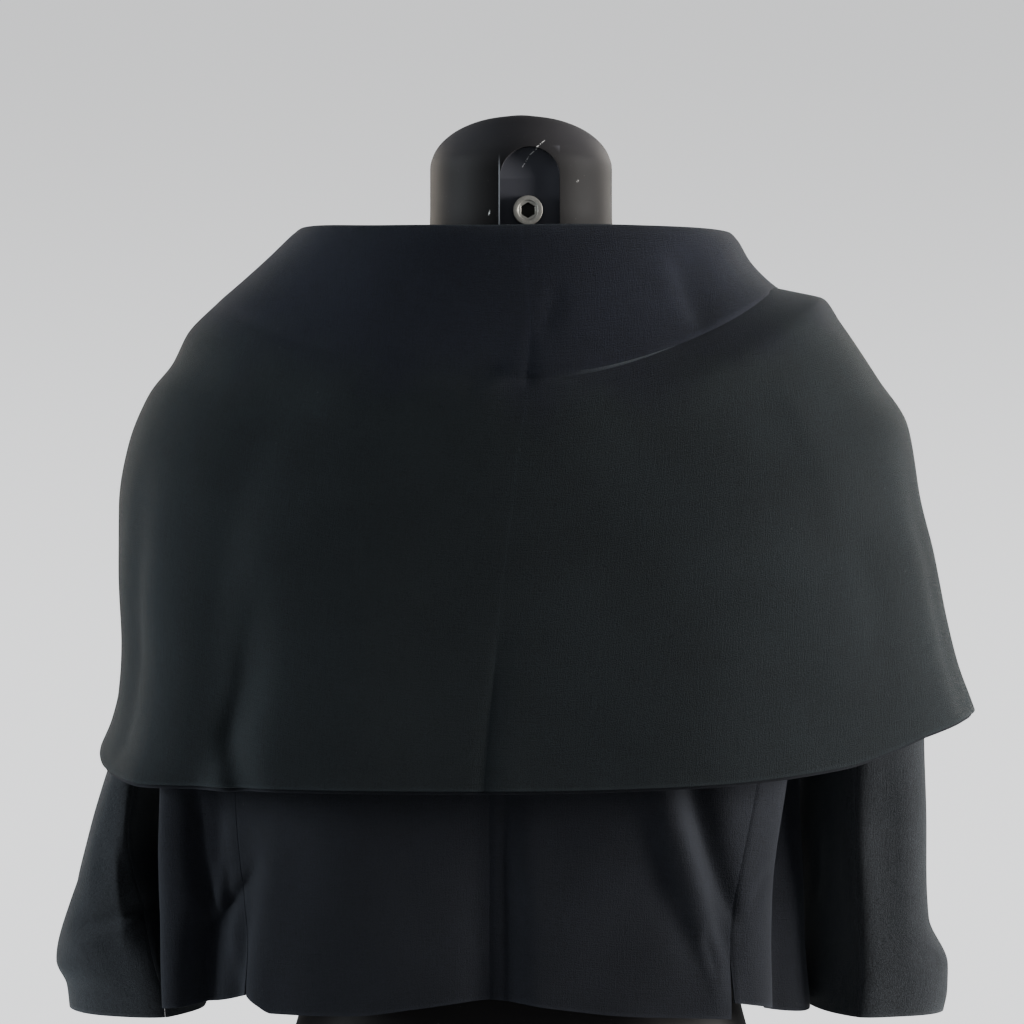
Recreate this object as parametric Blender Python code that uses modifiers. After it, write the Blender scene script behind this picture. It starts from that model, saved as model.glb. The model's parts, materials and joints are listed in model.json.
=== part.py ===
"""A black cropped jacket with a deep double cape collar, worn on a limbless dress form.

Sizes are in millimetres and are turned to metres as each solid is made. +Z is
up, the floor is Z = 0, the jacket's front faces -Y and its back faces +Y, and
the wearer's left is +X. Angles round the body are in degrees: 0 is the centre
back, 90 the left side, 180 the centre front and -90 the right side.
"""

import math

import bpy
import numpy as np

# ---------------------------------------------------------------- sizes (mm)
CLOTH = 1.6  # wall of one layer of cloth
SEAM = 0.3  # gap where two pieces are sewn edge to edge
LAYER_PITCH = 2.1  # middle of one cape layer to the middle of the next
FACING_PEEK = 1.8  # how far the under layer of the cape shows below the upper

UNDERARM_Z = 470.0  # where the body tube ends and the shoulders begin
ARMHOLE_DIP = 16.0  # lowest point of the armhole below that
SHOULDER_DROP = 32.0  # slope of the shoulder from neck to tip
NECKLINE_SIDE = (84.0, 606.0)  # X, Z of the neckline on the shoulder seam
NECKLINE_BACK = (76.0, 603.0)  # Y, Z of the neckline at the centre back
NECKLINE_FRONT = (-112.0, 505.0)  # Y, Z of the neckline at the centre front
BODY_SHIFT = 10.0  # the hanging body sits this far to the wearer's left
CB_SHIFT = 18.6  # the centre back seam of the body, measured from the neck
VENT_TOP_Z = 222.0
VENT_SPREAD = 3.6
NECK_CUT_GAP = 2.6  # cloth middle to cloth middle where the collar is sewn on

# The form: height, half width, depth to the back, depth to the front.
FORM = (
    # z, wide, back, front
    (0.0, 152.0, 104.0, 106.0),
    (7.0, 158.0, 110.0, 112.0),
    (45.0, 162.0, 113.0, 115.0),
    (110.0, 152.0, 104.0, 106.0),
    (180.0, 134.0, 91.0, 96.0),
    (235.0, 122.0, 84.0, 91.0),
    (300.0, 129.0, 88.0, 99.0),
    (370.0, 142.0, 94.0, 113.0),
    (430.0, 151.0, 97.0, 120.0),
    (480.0, 156.0, 96.0, 111.0),
    (520.0, 160.0, 92.0, 97.0),
    (548.0, 160.0, 84.0, 84.0),
    (569.0, 148.0, 76.0, 74.0),
    (586.0, 124.0, 67.0, 65.0),
    (600.8, 94.0, 61.0, 61.0),
    (608.0, 74.0, 58.0, 58.5),
    (621.0, 61.5, 56.6, 57.0),
    (640.0, 57.2, 56.2, 56.2),
    (665.0, 56.4, 56.0, 56.0),
    (688.0, 56.4, 56.0, 56.0),
    (696.0, 54.6, 54.2, 54.2),
    (702.0, 51.2, 50.8, 50.8),
    (708.0, 45.2, 44.9, 44.9),
    (713.5, 36.4, 36.1, 36.1),
    (718.0, 24.2, 24.0, 24.0),
    (721.0, 8.0, 8.0, 8.0),
)
FORM_SIDES = 32
RECESS = {"x": -5.2, "wide": 36.0, "floor_y": 46.0, "bottom": 613.0, "arc_z": 678.0}
BOLT = {"x": -4.0, "z": 658.0, "radius": 8.9, "thick": 4.2, "hex": 4.8, "deep": 3.0}

# The body tube: half width left and right of BODY_SHIFT, depth back and front.
BODY = (
    # z, left, right, back, front
    (172.0, 180.0, 187.0, 108.0, 124.0),
    (220.0, 180.0, 184.0, 108.0, 126.0),
    (270.0, 180.0, 183.0, 108.0, 127.0),
    (320.0, 179.0, 184.0, 109.0, 130.0),
    (380.0, 176.0, 186.0, 109.0, 134.0),
    (430.0, 172.0, 188.0, 108.0, 135.0),
    (470.0, 168.0, 188.0, 106.0, 131.0),
)
BODY_SQUARE_BACK = 3.0
BODY_SQUARE_FRONT = 2.5

# Folds of the body tube: angle and outward height at four heights of the tube,
# and the spread in degrees.
FOLD_Z = (180.0, 250.0, 316.0, 440.0)
BODY_FOLDS = (
    # name, angles at FOLD_Z, heights at FOLD_Z, spread
    ("left corner", (72.0, 72.0, 72.0, 74.0), (34.0, 35.0, 35.0, 4.0), 8.5),
    ("left trough", (66.5, 62.0, 64.5, 66.0), (-8.0, -12.0, -9.0, 0.0), 3.2),
    ("left ridge", (60.5, 58.0, 58.5, 60.0), (2.0, 5.0, 5.0, 0.0), 3.2),
    ("vent trough", (59.0, 50.0, 46.0, 44.0), (-11.0, -7.0, -1.0, 0.0), 4.2),
    ("vent ridge", (47.0, 42.0, 38.0, 38.0), (5.0, 5.0, 1.0, 0.0), 5.0),
    ("right ridge", (-37.0, -29.5, -22.0, -18.0), (1.0, 5.0, 8.0, 2.0), 4.8),
    ("right valley", (-40.0, -36.0, -30.0, -26.0), (-1.0, -4.0, -7.0, -1.0), 4.6),
    ("left front ridge", (150.0, 148.0, 146.0, 144.0), (6.0, 5.0, 4.0, 2.0), 8.0),
    ("left front trough", (133.0, 133.0, 132.0, 132.0), (-6.0, -5.0, -4.0, 0.0), 7.0),
    ("right front ridge", (-154.0, -151.0, -148.0, -146.0), (5.0, 5.0, 4.0, 1.0), 7.0),
    ("right front trough", (-136.0, -134.0, -134.0, -132.0), (-5.0, -6.0, -4.0, 0.0), 7.0),
    ("right hollow", (-65.0, -68.0, -76.0, -84.0), (-20.0, -20.0, -15.0, -2.0), 9.0),
    ("right side ridge", (-104.0, -106.0, -108.0, -110.0), (-3.0, -2.0, -2.0, 0.0), 8.0),
)
CB_VALLEY = {"wide": 15.0, "hem": 7.0, "top": 2.0}

# Seams between back and side panels, and between side and front panels.
SEAM_Z = (178.0, 222.0, 316.0, 470.0)
BACK_SEAM_LEFT = (51.0, 52.0, 56.0, 60.0)
BACK_SEAM_RIGHT = (-38.5, -39.5, -47.0, -60.0)
FRONT_SEAM_LEFT = (122.0, 122.0, 121.0, 120.0)
FRONT_SEAM_RIGHT = (-122.0, -122.0, -121.0, -120.0)

# Hem heights along each panel: (fraction across the panel, z).
HEMS = {
    "back_left": ((0.0, 191.0), (0.12, 186.5), (0.35, 181.5), (0.8, 180.5), (0.9, 185.0), (1.0, 190.0)),
    "back_right": ((0.0, 191.0), (0.12, 186.5), (0.4, 181.5), (0.8, 179.0), (1.0, 177.5)),
    "side_left": ((0.0, 190.0), (0.12, 186.0), (0.25, 180.0), (0.4, 177.5), (0.7, 175.0), (1.0, 175.0)),
    "side_right": ((0.0, 187.0), (0.2, 181.0), (0.5, 173.0), (0.8, 172.5), (1.0, 174.0)),
    "front_left": ((0.0, 175.0), (0.5, 176.5), (1.0, 178.0)),
    "front_right": ((0.0, 174.0), (0.5, 176.0), (1.0, 178.0)),
}
BODY_ROWS = (0.0, 0.06, 0.13, 0.20, 0.27, 0.34, 0.41, 0.49, 0.62, 0.82, 1.0)
SHOULDER_ROWS = (0.0, 0.22, 0.40, 0.56, 0.78, 1.0)

# The sleeves, from armhole to hem: the outer and inner points of each section
# (distance from the centre, height) and its reach to the back and the front.
SLEEVE_LEFT = (
    # outer x, outer z, inner x, inner z, back, front, slant and squareness of the section
    (206.0, 561.0, 187.0, 441.0, 64.0, -66.0, 0.0, 2.0),
    (221.5, 541.0, 190.0, 430.0, 62.0, -66.0, 0.0, 2.0),
    (233.0, 508.0, 192.0, 419.0, 59.0, -66.0, 0.0, 2.0),
    (239.0, 462.0, 195.0, 406.0, 56.0, -66.0, 0.0, 2.1),
    (239.0, 404.0, 202.0, 382.0, 53.0, -62.0, 2.0, 2.1),
    (239.0, 362.0, 212.0, 352.0, 46.0, -60.0, 2.0, 2.1),
    (251.2, 320.0, 221.0, 316.0, 38.0, -58.0, 7.0, 2.4),
    (264.2, 278.0, 222.0, 278.0, 40.0, -57.0, 7.0, 2.6),
    (276.6, 236.0, 209.0, 238.0, 44.0, -56.0, 5.0, 2.5),
    (287.4, 199.0, 200.0, 200.0, 46.0, -54.0, 1.0, 2.4),
    (281.6, 184.0, 198.0, 184.0, 46.0, -54.0, 0.0, 2.4),
    (279.8, 170.0, 197.0, 170.0, 46.0, -54.0, 0.0, 2.4),
)
SLEEVE_RIGHT = (
    (207.0, 566.0, 190.0, 441.0, 64.0, -66.0, 0.0, 2.0),
    (218.5, 548.0, 193.0, 430.0, 62.0, -66.0, 0.0, 2.0),
    (231.5, 520.0, 195.0, 419.0, 59.0, -66.0, 0.0, 2.0),
    (240.5, 470.0, 196.0, 406.0, 57.0, -66.0, 0.0, 2.2),
    (244.0, 410.0, 191.0, 382.0, 55.0, -64.0, 3.0, 2.6),
    (244.2, 362.0, 185.8, 352.0, 53.0, -62.0, 6.5, 3.0),
    (243.2, 318.0, 181.0, 316.0, 52.0, -58.0, 9.0, 3.3),
    (243.2, 278.0, 180.0, 278.0, 51.0, -55.0, 9.5, 3.3),
    (245.8, 228.0, 181.0, 230.0, 50.0, -53.0, 9.5, 3.0),
    (259.4, 198.0, 180.5, 198.0, 49.0, -52.0, 8.0, 2.8),
    (259.4, 183.0, 180.0, 183.0, 48.0, -52.0, 7.5, 2.8),
    (257.4, 170.5, 179.5, 170.5, 48.0, -52.0, 7.0, 2.8),
)
# Each sleeve is cut in two: the upper sleeve outside and the under sleeve against
# the body. Turns round the sleeve start outside (0) and pass the back (0.25).
SLEEVE_CUTS = (
    # piece, first seam, last seam, faces across
    ("upper", -0.32, 0.32, 14),
    ("under", 0.32, 0.68, 9),
)

# The cape collar, from its seam on the neckline up the stand, over the rolled
# top edge and down to its hem, at the left side, right side, back and front.
CAPE = (
    # left x, z, right x, z, back y, z, front y, z, squareness, centre back shift
    (84.0, 606.0, 84.0, 606.0, 76.0, 603.0, -112.0, 505.0, 2.00, 0.0),
    (108.0, 632.0, 104.0, 630.0, 83.0, 624.0, -117.5, 519.0, 2.00, 0.0),
    (130.0, 648.0, 123.0, 645.5, 88.5, 641.0, -126.0, 522.0, 2.00, 0.0),
    (136.0, 650.0, 129.0, 647.5, 92.5, 644.5, -131.0, 522.0, 2.00, 0.0),
    (140.5, 647.0, 133.5, 643.5, 96.5, 640.0, -136.0, 516.0, 2.00, 0.0),
    (154.0, 634.0, 141.0, 630.5, 106.0, 612.0, -140.0, 499.0, 2.05, -3.0),
    (170.5, 618.5, 150.0, 620.0, 117.5, 578.0, -143.0, 481.0, 2.10, -4.5),
    (183.0, 607.0, 155.5, 614.5, 124.5, 558.5, -145.0, 468.0, 2.15, -4.0),
    (187.5, 602.5, 161.0, 610.5, 126.5, 551.5, -145.5, 463.0, 2.15, -3.5),
    (193.0, 597.0, 173.0, 608.5, 128.5, 545.5, -146.0, 458.0, 2.20, -3.0),
    (203.0, 586.0, 187.5, 606.5, 130.5, 534.0, -147.0, 448.0, 2.25, -2.0),
    (213.0, 566.5, 198.5, 590.5, 132.0, 515.0, -148.0, 437.0, 2.30, 1.5),
    (228.5, 547.5, 219.0, 558.5, 132.5, 490.0, -148.5, 425.0, 2.35, 4.5),
    (240.5, 518.0, 238.0, 529.0, 133.0, 458.0, -149.0, 411.0, 2.40, 8.5),
    (245.8, 480.0, 244.5, 487.0, 133.5, 425.0, -149.5, 395.0, 2.40, 12.0),
    (246.6, 440.0, 254.0, 451.0, 134.0, 394.0, -150.0, 379.0, 2.40, 15.0),
    (245.0, 397.0, 261.0, 412.0, 134.5, 366.0, -150.5, 364.0, 2.40, 17.5),
    (246.4, 368.0, 268.5, 382.0, 135.0, 345.0, -151.0, 350.0, 2.40, 19.5),
    (251.0, 348.0, 274.5, 365.0, 135.5, 328.5, -151.5, 339.0, 2.40, 20.5),
    (258.5, 331.0, 278.0, 355.0, 136.0, 315.7, -152.0, 330.0, 2.40, 21.3),
)
CAPE_CREASE = (
    # row, outward, along the angle where the fold over the right shoulder is full
    (5, 1.5),
    (6, 4.0),
    (7, 5.0),
    (8, -6.5),
    (9, -5.0),
    (10, -0.5),
)
# Strength of that fold: (angle, share).
CREASE_REACH = ((-180.0, 0.0), (-135.0, 0.0), (-105.0, 0.7), (-85.0, 0.9), (-60.0, 1.0), (-25.0, 0.8), (-8.0, 0.45), (0.0, 0.25))
# Height of the cape's hem: (angle, z).
CAPE_HEM = (
    (-180.0, 330.0), (-150.0, 334.0), (-120.0, 346.0), (-90.0, 355.0), (-78.0, 352.5),
    (-60.0, 344.0), (-52.0, 336.0), (-42.0, 327.0), (-19.0, 318.0), (0.0, 315.7),
    (25.0, 316.0), (50.0, 315.8), (63.0, 318.3), (74.0, 322.0), (82.0, 327.5),
    (90.0, 331.5), (100.0, 333.0), (120.0, 331.0), (150.0, 330.0), (180.0, 330.0),
)
CAPE_FOLDS = (
    # name, angle high, angle low, height at the hem, height at mid cape, spread
    ("left back trough", 38.0, 41.0, -6.0, -3.0, 5.5),
    ("left back ridge", 52.0, 55.0, 3.0, 1.5, 7.0),
    ("right back swell", -22.0, -24.0, 2.5, 1.5, 12.0),
    ("left front ridge", 140.0, 143.0, 5.0, 2.0, 9.0),
    ("left front trough", 122.0, 123.0, -5.0, -2.0, 8.0),
    ("right front ridge", -145.0, -148.0, 5.0, 2.0, 9.0),
    ("right front trough", -126.0, -128.0, -5.0, -2.0, 8.0),
)
CAPE_FRONT_EDGE = 178.6  # the cape's front edges stand this far round
CAPE_COLUMNS = 31
FACING_ROWS = (11, 12, 13, 14, 15, 16, 17, 18, 19)


# ------------------------------------------------------------------- helpers
def through(xs, ys, x):
    """A smooth curve through a short table, without overshoot between rows."""
    xs, ys, x = np.asarray(xs, float), np.asarray(ys, float), np.asarray(x, float)
    step, rise = np.diff(xs), np.diff(ys)
    slope = rise / step
    inner = np.where(
        slope[:-1] * slope[1:] > 0,
        2 * slope[:-1] * slope[1:] / np.where(slope[:-1] + slope[1:] == 0, 1, slope[:-1] + slope[1:]),
        0.0,
    )
    m = np.concatenate([[slope[0]], inner, [slope[-1]]])
    x = np.clip(x, xs[0], xs[-1])
    i = np.clip(np.searchsorted(xs, x, side="right") - 1, 0, len(step) - 1)
    t = (x - xs[i]) / step[i]
    return (
        ys[i] * (1 + 2 * t) * (1 - t) ** 2
        + step[i] * m[i] * t * (1 - t) ** 2
        + ys[i + 1] * t * t * (3 - 2 * t)
        + step[i] * m[i + 1] * t * t * (t - 1)
    )


def table(rows, column, x):
    return through([r[0] for r in rows], [r[column] for r in rows], x)


def bell(x, middle, spread):
    return np.exp(-(((x - middle) / spread) ** 2))


def round_plan(angle, left, right, back, front, square_back, square_front):
    """A rounded-off rectangle seen from above, at an angle from the centre back."""
    s, c = np.sin(np.radians(angle)), np.cos(np.radians(angle))
    power = 2.0 / np.where(c > 0, square_back, square_front)
    side = np.where(s > 0, left, right)
    deep = np.where(c > 0, back, front)
    x = np.sign(s) * side * np.abs(s) ** power
    y = np.sign(c) * deep * np.abs(c) ** power
    return x, y


def outward(x, y):
    """Unit directions square to a section, from the direction of its points."""
    size = np.hypot(x / 1.6, y)
    return x / 1.6 / size, y / size


def even_angles(start, end, count, square, weight=None):
    """Angles whose points lie about evenly along a rounded section."""
    dense = np.linspace(start, end, 721)
    x, y = round_plan(dense, 190.0, 190.0, 115.0, 125.0, square, square)
    length = np.hypot(np.diff(x), np.diff(y))
    if weight is not None:
        length = length * weight((dense[:-1] + dense[1:]) / 2)
    along = np.concatenate([[0.0], np.cumsum(length)])
    return np.interp(np.linspace(0, along[-1], count + 1), along, dense)


# ------------------------------------------------------------------ the body
def body_tube(angle, z):
    angle, z = np.broadcast_arrays(np.asarray(angle, float), np.asarray(z, float))
    x, y = round_plan(
        angle,
        table(BODY, 1, z),
        table(BODY, 2, z),
        table(BODY, 3, z),
        table(BODY, 4, z),
        BODY_SQUARE_BACK,
        BODY_SQUARE_FRONT,
    )
    nx, ny = outward(x, y)
    push = np.zeros_like(x)
    for name, angles, heights, spread in BODY_FOLDS:
        push = push + through(FOLD_Z, heights, z) * bell(angle, through(FOLD_Z, angles, z), spread)
    shift = BODY_SHIFT + (CB_SHIFT - BODY_SHIFT) * bell(angle, 0.0, 30.0)
    shift = shift * np.clip((UNDERARM_Z + 90.0 - z) / 240.0, 0.0, 1.0)
    valley = through((180.0, 316.0), (CB_VALLEY["hem"], CB_VALLEY["top"]), z) * bell(x, 0.0, CB_VALLEY["wide"])
    valley = np.where(np.abs(angle) < 90, valley, 0.0)
    return np.stack([x + nx * push + shift, y + ny * push - valley, z], -1)


def neckline(angle):
    s, c = np.sin(np.radians(angle)), np.cos(np.radians(angle))
    deep = np.where(c > 0, NECKLINE_BACK[0], -NECKLINE_FRONT[0])
    low = np.where(
        c > 0,
        NECKLINE_SIDE[1] + (NECKLINE_BACK[1] - NECKLINE_SIDE[1]) * c * c,
        NECKLINE_SIDE[1] + (NECKLINE_FRONT[1] - NECKLINE_SIDE[1]) * np.abs(c) ** 3,
    )
    return np.stack([NECKLINE_SIDE[0] * s, deep * c, low], -1)


def shoulder(angle, rise):
    """From the top of the body tube (rise 0) over the shoulder to the neckline (rise 1)."""
    angle, rise = np.broadcast_arrays(np.asarray(angle, float), np.asarray(rise, float))
    low, top = body_tube(angle, np.full_like(angle, UNDERARM_Z)), neckline(angle)
    s2 = np.sin(np.radians(angle)) ** 2
    reach = np.where(s2 > 0.4, (s2 - 0.4) / 0.6, 0.0)
    low[..., 0] += np.sign(low[..., 0]) * 21.0 * reach
    square = 2.3 + 5.2 * s2**2
    a = np.radians(90.0 * (1 - rise))
    across, up = np.sin(a) ** (2 / square), np.cos(a) ** (2 / square)
    point = top + (low - top) * across[..., None]
    point[..., 2] = low[..., 2] + (top[..., 2] - low[..., 2]) * up - SHOULDER_DROP * s2**2 * across * up
    return point


def armhole_angle(seam_angle, rise):
    """Where the side edge of a back or front panel runs, from seam top to shoulder seam."""
    sign = math.copysign(1.0, seam_angle)
    turn = np.clip((rise - 0.12) / 0.44, 0.0, 1.0)
    turn = turn * turn * (3 - 2 * turn)
    return seam_angle + (sign * 90.0 - seam_angle) * turn


def body_panel(centre, seam, hem, columns):
    """A back or front panel, from its centre edge to its seam and armhole."""
    rows = []
    for v in BODY_ROWS:
        across = columns
        z = through([h[0] for h in hem], [h[1] for h in hem], across)
        z = z + (UNDERARM_Z - z) * v
        edge = through(SEAM_Z, seam, z)
        rows.append(body_tube(centre + (edge - centre) * across, z))
    for rise in SHOULDER_ROWS[1:]:
        edge = armhole_angle(seam[-1], rise)
        rows.append(shoulder(centre + (edge - centre) * columns, np.full_like(columns, rise)))
    return np.array(rows)


def side_panel(back_seam, front_seam, hem, count):
    across = np.linspace(0, 1, count + 1)
    dip = ARMHOLE_DIP * np.sin(np.pi * across) ** 0.8
    rows = []
    for v in BODY_ROWS:
        low = through([h[0] for h in hem], [h[1] for h in hem], across)
        z = low + (UNDERARM_Z - dip - low) * v
        start, end = through(SEAM_Z, back_seam, z), through(SEAM_Z, front_seam, z)
        rows.append(body_tube(start + (end - start) * across, z))
    return np.array(rows)


def pull_edge(grid, side, gap, spread=0.0, top=0.0):
    """Draw one side edge of a panel back along its rows, wider below a vent's top."""
    edge, inner = (0, 1) if side == "first" else (-1, -2)
    step = grid[:, inner] - grid[:, edge]
    size = np.linalg.norm(step, axis=-1, keepdims=True)
    much = np.full(len(grid), gap)
    if spread:
        z = grid[:, edge, 2]
        much = much + spread * np.clip((top - z) / (top - 178.0), 0.0, 1.0)
    grid[:, edge] += step / size * np.minimum(much[:, None], size * 0.8)
    return grid


# ------------------------------------------------------------------ the cape
def cape(angle, row):
    """A point of the cape collar at an angle and a (fractional) row of its table."""
    angle, row = np.broadcast_arrays(np.asarray(angle, float), np.asarray(row, float))
    at = np.arange(len(CAPE), dtype=float)
    column = [through(at, [r[i] for r in CAPE], row) for i in range(10)]
    left_x, left_z, right_x, right_z, back_y, back_z, front_y, front_z, square, centre = column
    s, c = np.sin(np.radians(angle)), np.cos(np.radians(angle))
    x, y = round_plan(angle, left_x, right_x, back_y, -front_y, square, 2 * square - 1.9)
    beside = np.where(s > 0, left_z, right_z)
    z = beside + np.where(c > 0, (back_z - beside) * c * c, (front_z - beside) * np.abs(c) ** 3)
    hem = through([h[0] for h in CAPE_HEM], [h[1] for h in CAPE_HEM], angle)
    hem_row = CAPE[-1]
    beside = np.where(s > 0, hem_row[1], hem_row[3])
    plain = beside + np.where(c > 0, (hem_row[5] - beside) * c * c, (hem_row[7] - beside) * np.abs(c) ** 3)
    z = z + (hem - plain) * np.clip((row - 12.0) / 7.0, 0.0, 1.0) ** 1.5
    share = through([r[0] for r in CREASE_REACH], [r[1] for r in CREASE_REACH], angle)
    share = np.where(angle > 0, 0.0, share)
    knots = [4.0] + [float(r[0]) for r in CAPE_CREASE] + [12.0]
    lift = [0.0] + [r[1] for r in CAPE_CREASE] + [0.0]
    nx, ny = outward(x, y)
    push = share * np.interp(row, knots, lift)
    for name, high, low, at_hem, at_mid, spread in CAPE_FOLDS:
        middle = high + (low - high) * (row - 12.0) / 7.0
        height = np.interp(row, (9.0, 14.0, 19.0), (0.0, at_mid, at_hem))
        push = push + height * bell(angle, middle, spread)
    x, y = x + nx * push, y + ny * push
    x = x + centre * np.where(c > 0, c * c, 0.0)
    # The first row is sewn to the neckline, just above the body's edge.
    near = np.clip(1 - row, 0.0, 1.0)
    seam = neckline(angle)
    seam[..., 2] += NECK_CUT_GAP
    point = np.stack([x, y, z], -1)
    return point * (1 - near[..., None]) + seam * near[..., None]


def cape_grid(side, rows):
    """One half of the cape: columns from the centre back to the front edge."""
    angles = even_angles(0.0, CAPE_FRONT_EDGE, CAPE_COLUMNS, 2.3, lambda a: np.where(a < 100, 1.25, 0.8))
    angles[0] = 0.0
    return cape(side * angles[None, :], np.asarray(rows, float)[:, None])


def normals_of(grid):
    du = np.gradient(grid, axis=1)
    dv = np.gradient(grid, axis=0)
    n = np.cross(du, dv)
    return n / np.maximum(np.linalg.norm(n, axis=-1, keepdims=True), 1e-9)


# ------------------------------------------------------------------ building
for old in list(bpy.data.objects):
    bpy.data.objects.remove(old, do_unlink=True)
for old in list(bpy.data.collections):
    bpy.data.collections.remove(old)

part = bpy.data.collections.new("draped_jacket")
cutters = bpy.data.collections.new("cutters")
bpy.context.scene.collection.children.link(part)
bpy.context.scene.collection.children.link(cutters)


def material(name, colour, rough, metal=0.0):
    made = bpy.data.materials.new(name)
    made.use_nodes = True
    shader = next(n for n in made.node_tree.nodes if n.type == "BSDF_PRINCIPLED")
    shader.inputs["Base Color"].default_value = (*colour, 1.0)
    shader.inputs["Roughness"].default_value = rough
    shader.inputs["Metallic"].default_value = metal
    return made


WOOL = material("black_wool", (0.012, 0.013, 0.015), 0.85)
WOOL_CAPE = material("black_wool_cape", (0.013, 0.015, 0.016), 0.85)
WOOL_FACING = material("black_wool_facing", (0.010, 0.011, 0.013), 0.88)
PLASTIC = material("black_form_plastic", (0.014, 0.013, 0.013), 0.42)
STEEL = material("bolt_steel", (0.45, 0.43, 0.40), 0.45, 1.0)


def mesh_object(name, points, faces, coat, into=part):
    mesh = bpy.data.meshes.new(name)
    mesh.from_pydata([tuple(p) for p in np.asarray(points) * 0.001], [], faces)
    mesh.update()
    made = bpy.data.objects.new(name, mesh)
    made.data.materials.append(coat)
    into.objects.link(made)
    return made


def cloth(name, grid, coat, closed=False, wall=CLOTH):
    """A sheet through rows of points, thickened to a wall of cloth."""
    rows, columns = grid.shape[:2]
    faces = []
    for r in range(rows - 1):
        for k in range(columns if closed else columns - 1):
            n = (k + 1) % columns
            faces.append((r * columns + k, r * columns + n, (r + 1) * columns + n, (r + 1) * columns + k))
    made = mesh_object(name, grid.reshape(-1, 3), faces, coat)
    thick = made.modifiers.new("wall", "SOLIDIFY")
    thick.thickness = wall * 0.001
    thick.offset = 0.0
    thick.use_even_offset = False
    return made


# --- the dress form: sections from its flat base to the domed neck top
rings = []
for z, wide, back, front in FORM:
    a = np.radians(np.arange(FORM_SIDES) * 360.0 / FORM_SIDES)
    square = 2.25 if z < 600 else 2.0
    s, c = np.sin(a), np.cos(a)
    x = np.sign(s) * wide * np.abs(s) ** (2 / square)
    y = np.where(c > 0, back, front) * np.sign(c) * np.abs(c) ** (2 / square)
    rings.append(np.stack([x, y, np.full_like(x, z)], -1))
rings = np.array(rings)
faces = []
for r in range(len(FORM) - 1):
    for k in range(FORM_SIDES):
        n = (k + 1) % FORM_SIDES
        faces.append((r * FORM_SIDES + n, r * FORM_SIDES + k, (r + 1) * FORM_SIDES + k, (r + 1) * FORM_SIDES + n))
faces.append(tuple(range(FORM_SIDES)))
last = (len(FORM) - 1) * FORM_SIDES
faces.append(tuple(reversed(range(last, last + FORM_SIDES))))
form = mesh_object("form_torso", rings.reshape(-1, 3), faces, PLASTIC)


def cutter(name, made):
    made.name = name
    for owner in list(made.users_collection):
        owner.objects.unlink(made)
    cutters.objects.link(made)
    made.hide_render = True
    made.hide_viewport = True
    return made


# --- the flat recess with a rounded top in the back of the neck
depth = 30.0
bpy.ops.mesh.primitive_cube_add(
    size=1.0,
    location=(
        RECESS["x"] * 0.001,
        (RECESS["floor_y"] + depth / 2) * 0.001,
        (RECESS["bottom"] + RECESS["arc_z"]) / 2 * 0.001,
    ),
    scale=(RECESS["wide"] * 0.001, depth * 0.001, (RECESS["arc_z"] - RECESS["bottom"]) * 0.001),
)
slot = cutter("recess_slot", bpy.context.object)
bpy.ops.mesh.primitive_cylinder_add(
    vertices=32,
    radius=RECESS["wide"] / 2 * 0.001,
    depth=depth * 0.001,
    location=(RECESS["x"] * 0.001, (RECESS["floor_y"] + depth / 2) * 0.001, RECESS["arc_z"] * 0.001),
    rotation=(math.pi / 2, 0.0, 0.0),
)
arc = cutter("recess_arc", bpy.context.object)
for tool in (slot, arc):
    cut = form.modifiers.new(tool.name, "BOOLEAN")
    cut.operation = "DIFFERENCE"
    cut.solver = "EXACT"
    cut.object = tool

# --- the socket bolt in the recess
bpy.ops.mesh.primitive_cylinder_add(
    vertices=24,
    radius=BOLT["radius"] * 0.001,
    depth=BOLT["thick"] * 0.001,
    location=(BOLT["x"] * 0.001, (RECESS["floor_y"] + SEAM + BOLT["thick"] / 2) * 0.001, BOLT["z"] * 0.001),
    rotation=(math.pi / 2, 0.0, 0.0),
)
bolt = bpy.context.object
bolt.name = "form_bolt"
for owner in list(bolt.users_collection):
    owner.objects.unlink(bolt)
part.objects.link(bolt)
bolt.data.materials.append(STEEL)
bpy.ops.mesh.primitive_cylinder_add(
    vertices=6,
    radius=BOLT["hex"] * 0.001,
    depth=BOLT["deep"] * 2 * 0.001,
    location=(BOLT["x"] * 0.001, (RECESS["floor_y"] + SEAM + BOLT["thick"]) * 0.001, BOLT["z"] * 0.001),
    rotation=(math.pi / 2, 0.0, 0.0),
)
socket = cutter("bolt_socket", bpy.context.object)
cut = bolt.modifiers.new("socket", "BOOLEAN")
cut.operation = "DIFFERENCE"
cut.solver = "EXACT"
cut.object = socket
edge = bolt.modifiers.new("edge", "BEVEL")
edge.width = 0.0006
edge.segments = 1
edge.limit_method = "ANGLE"
edge.angle_limit = math.radians(50)

# --- the body panels
columns_left = even_angles(0.0, 90.0, 22, 2.6, lambda a: np.where(a > 58, 1.9, 0.9)) / 90.0
columns_right = even_angles(0.0, 90.0, 18, 2.6, lambda a: np.where(a > 45, 1.6, 0.8)) / 90.0
columns_front = np.linspace(0.0, 1.0, 14)

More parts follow.
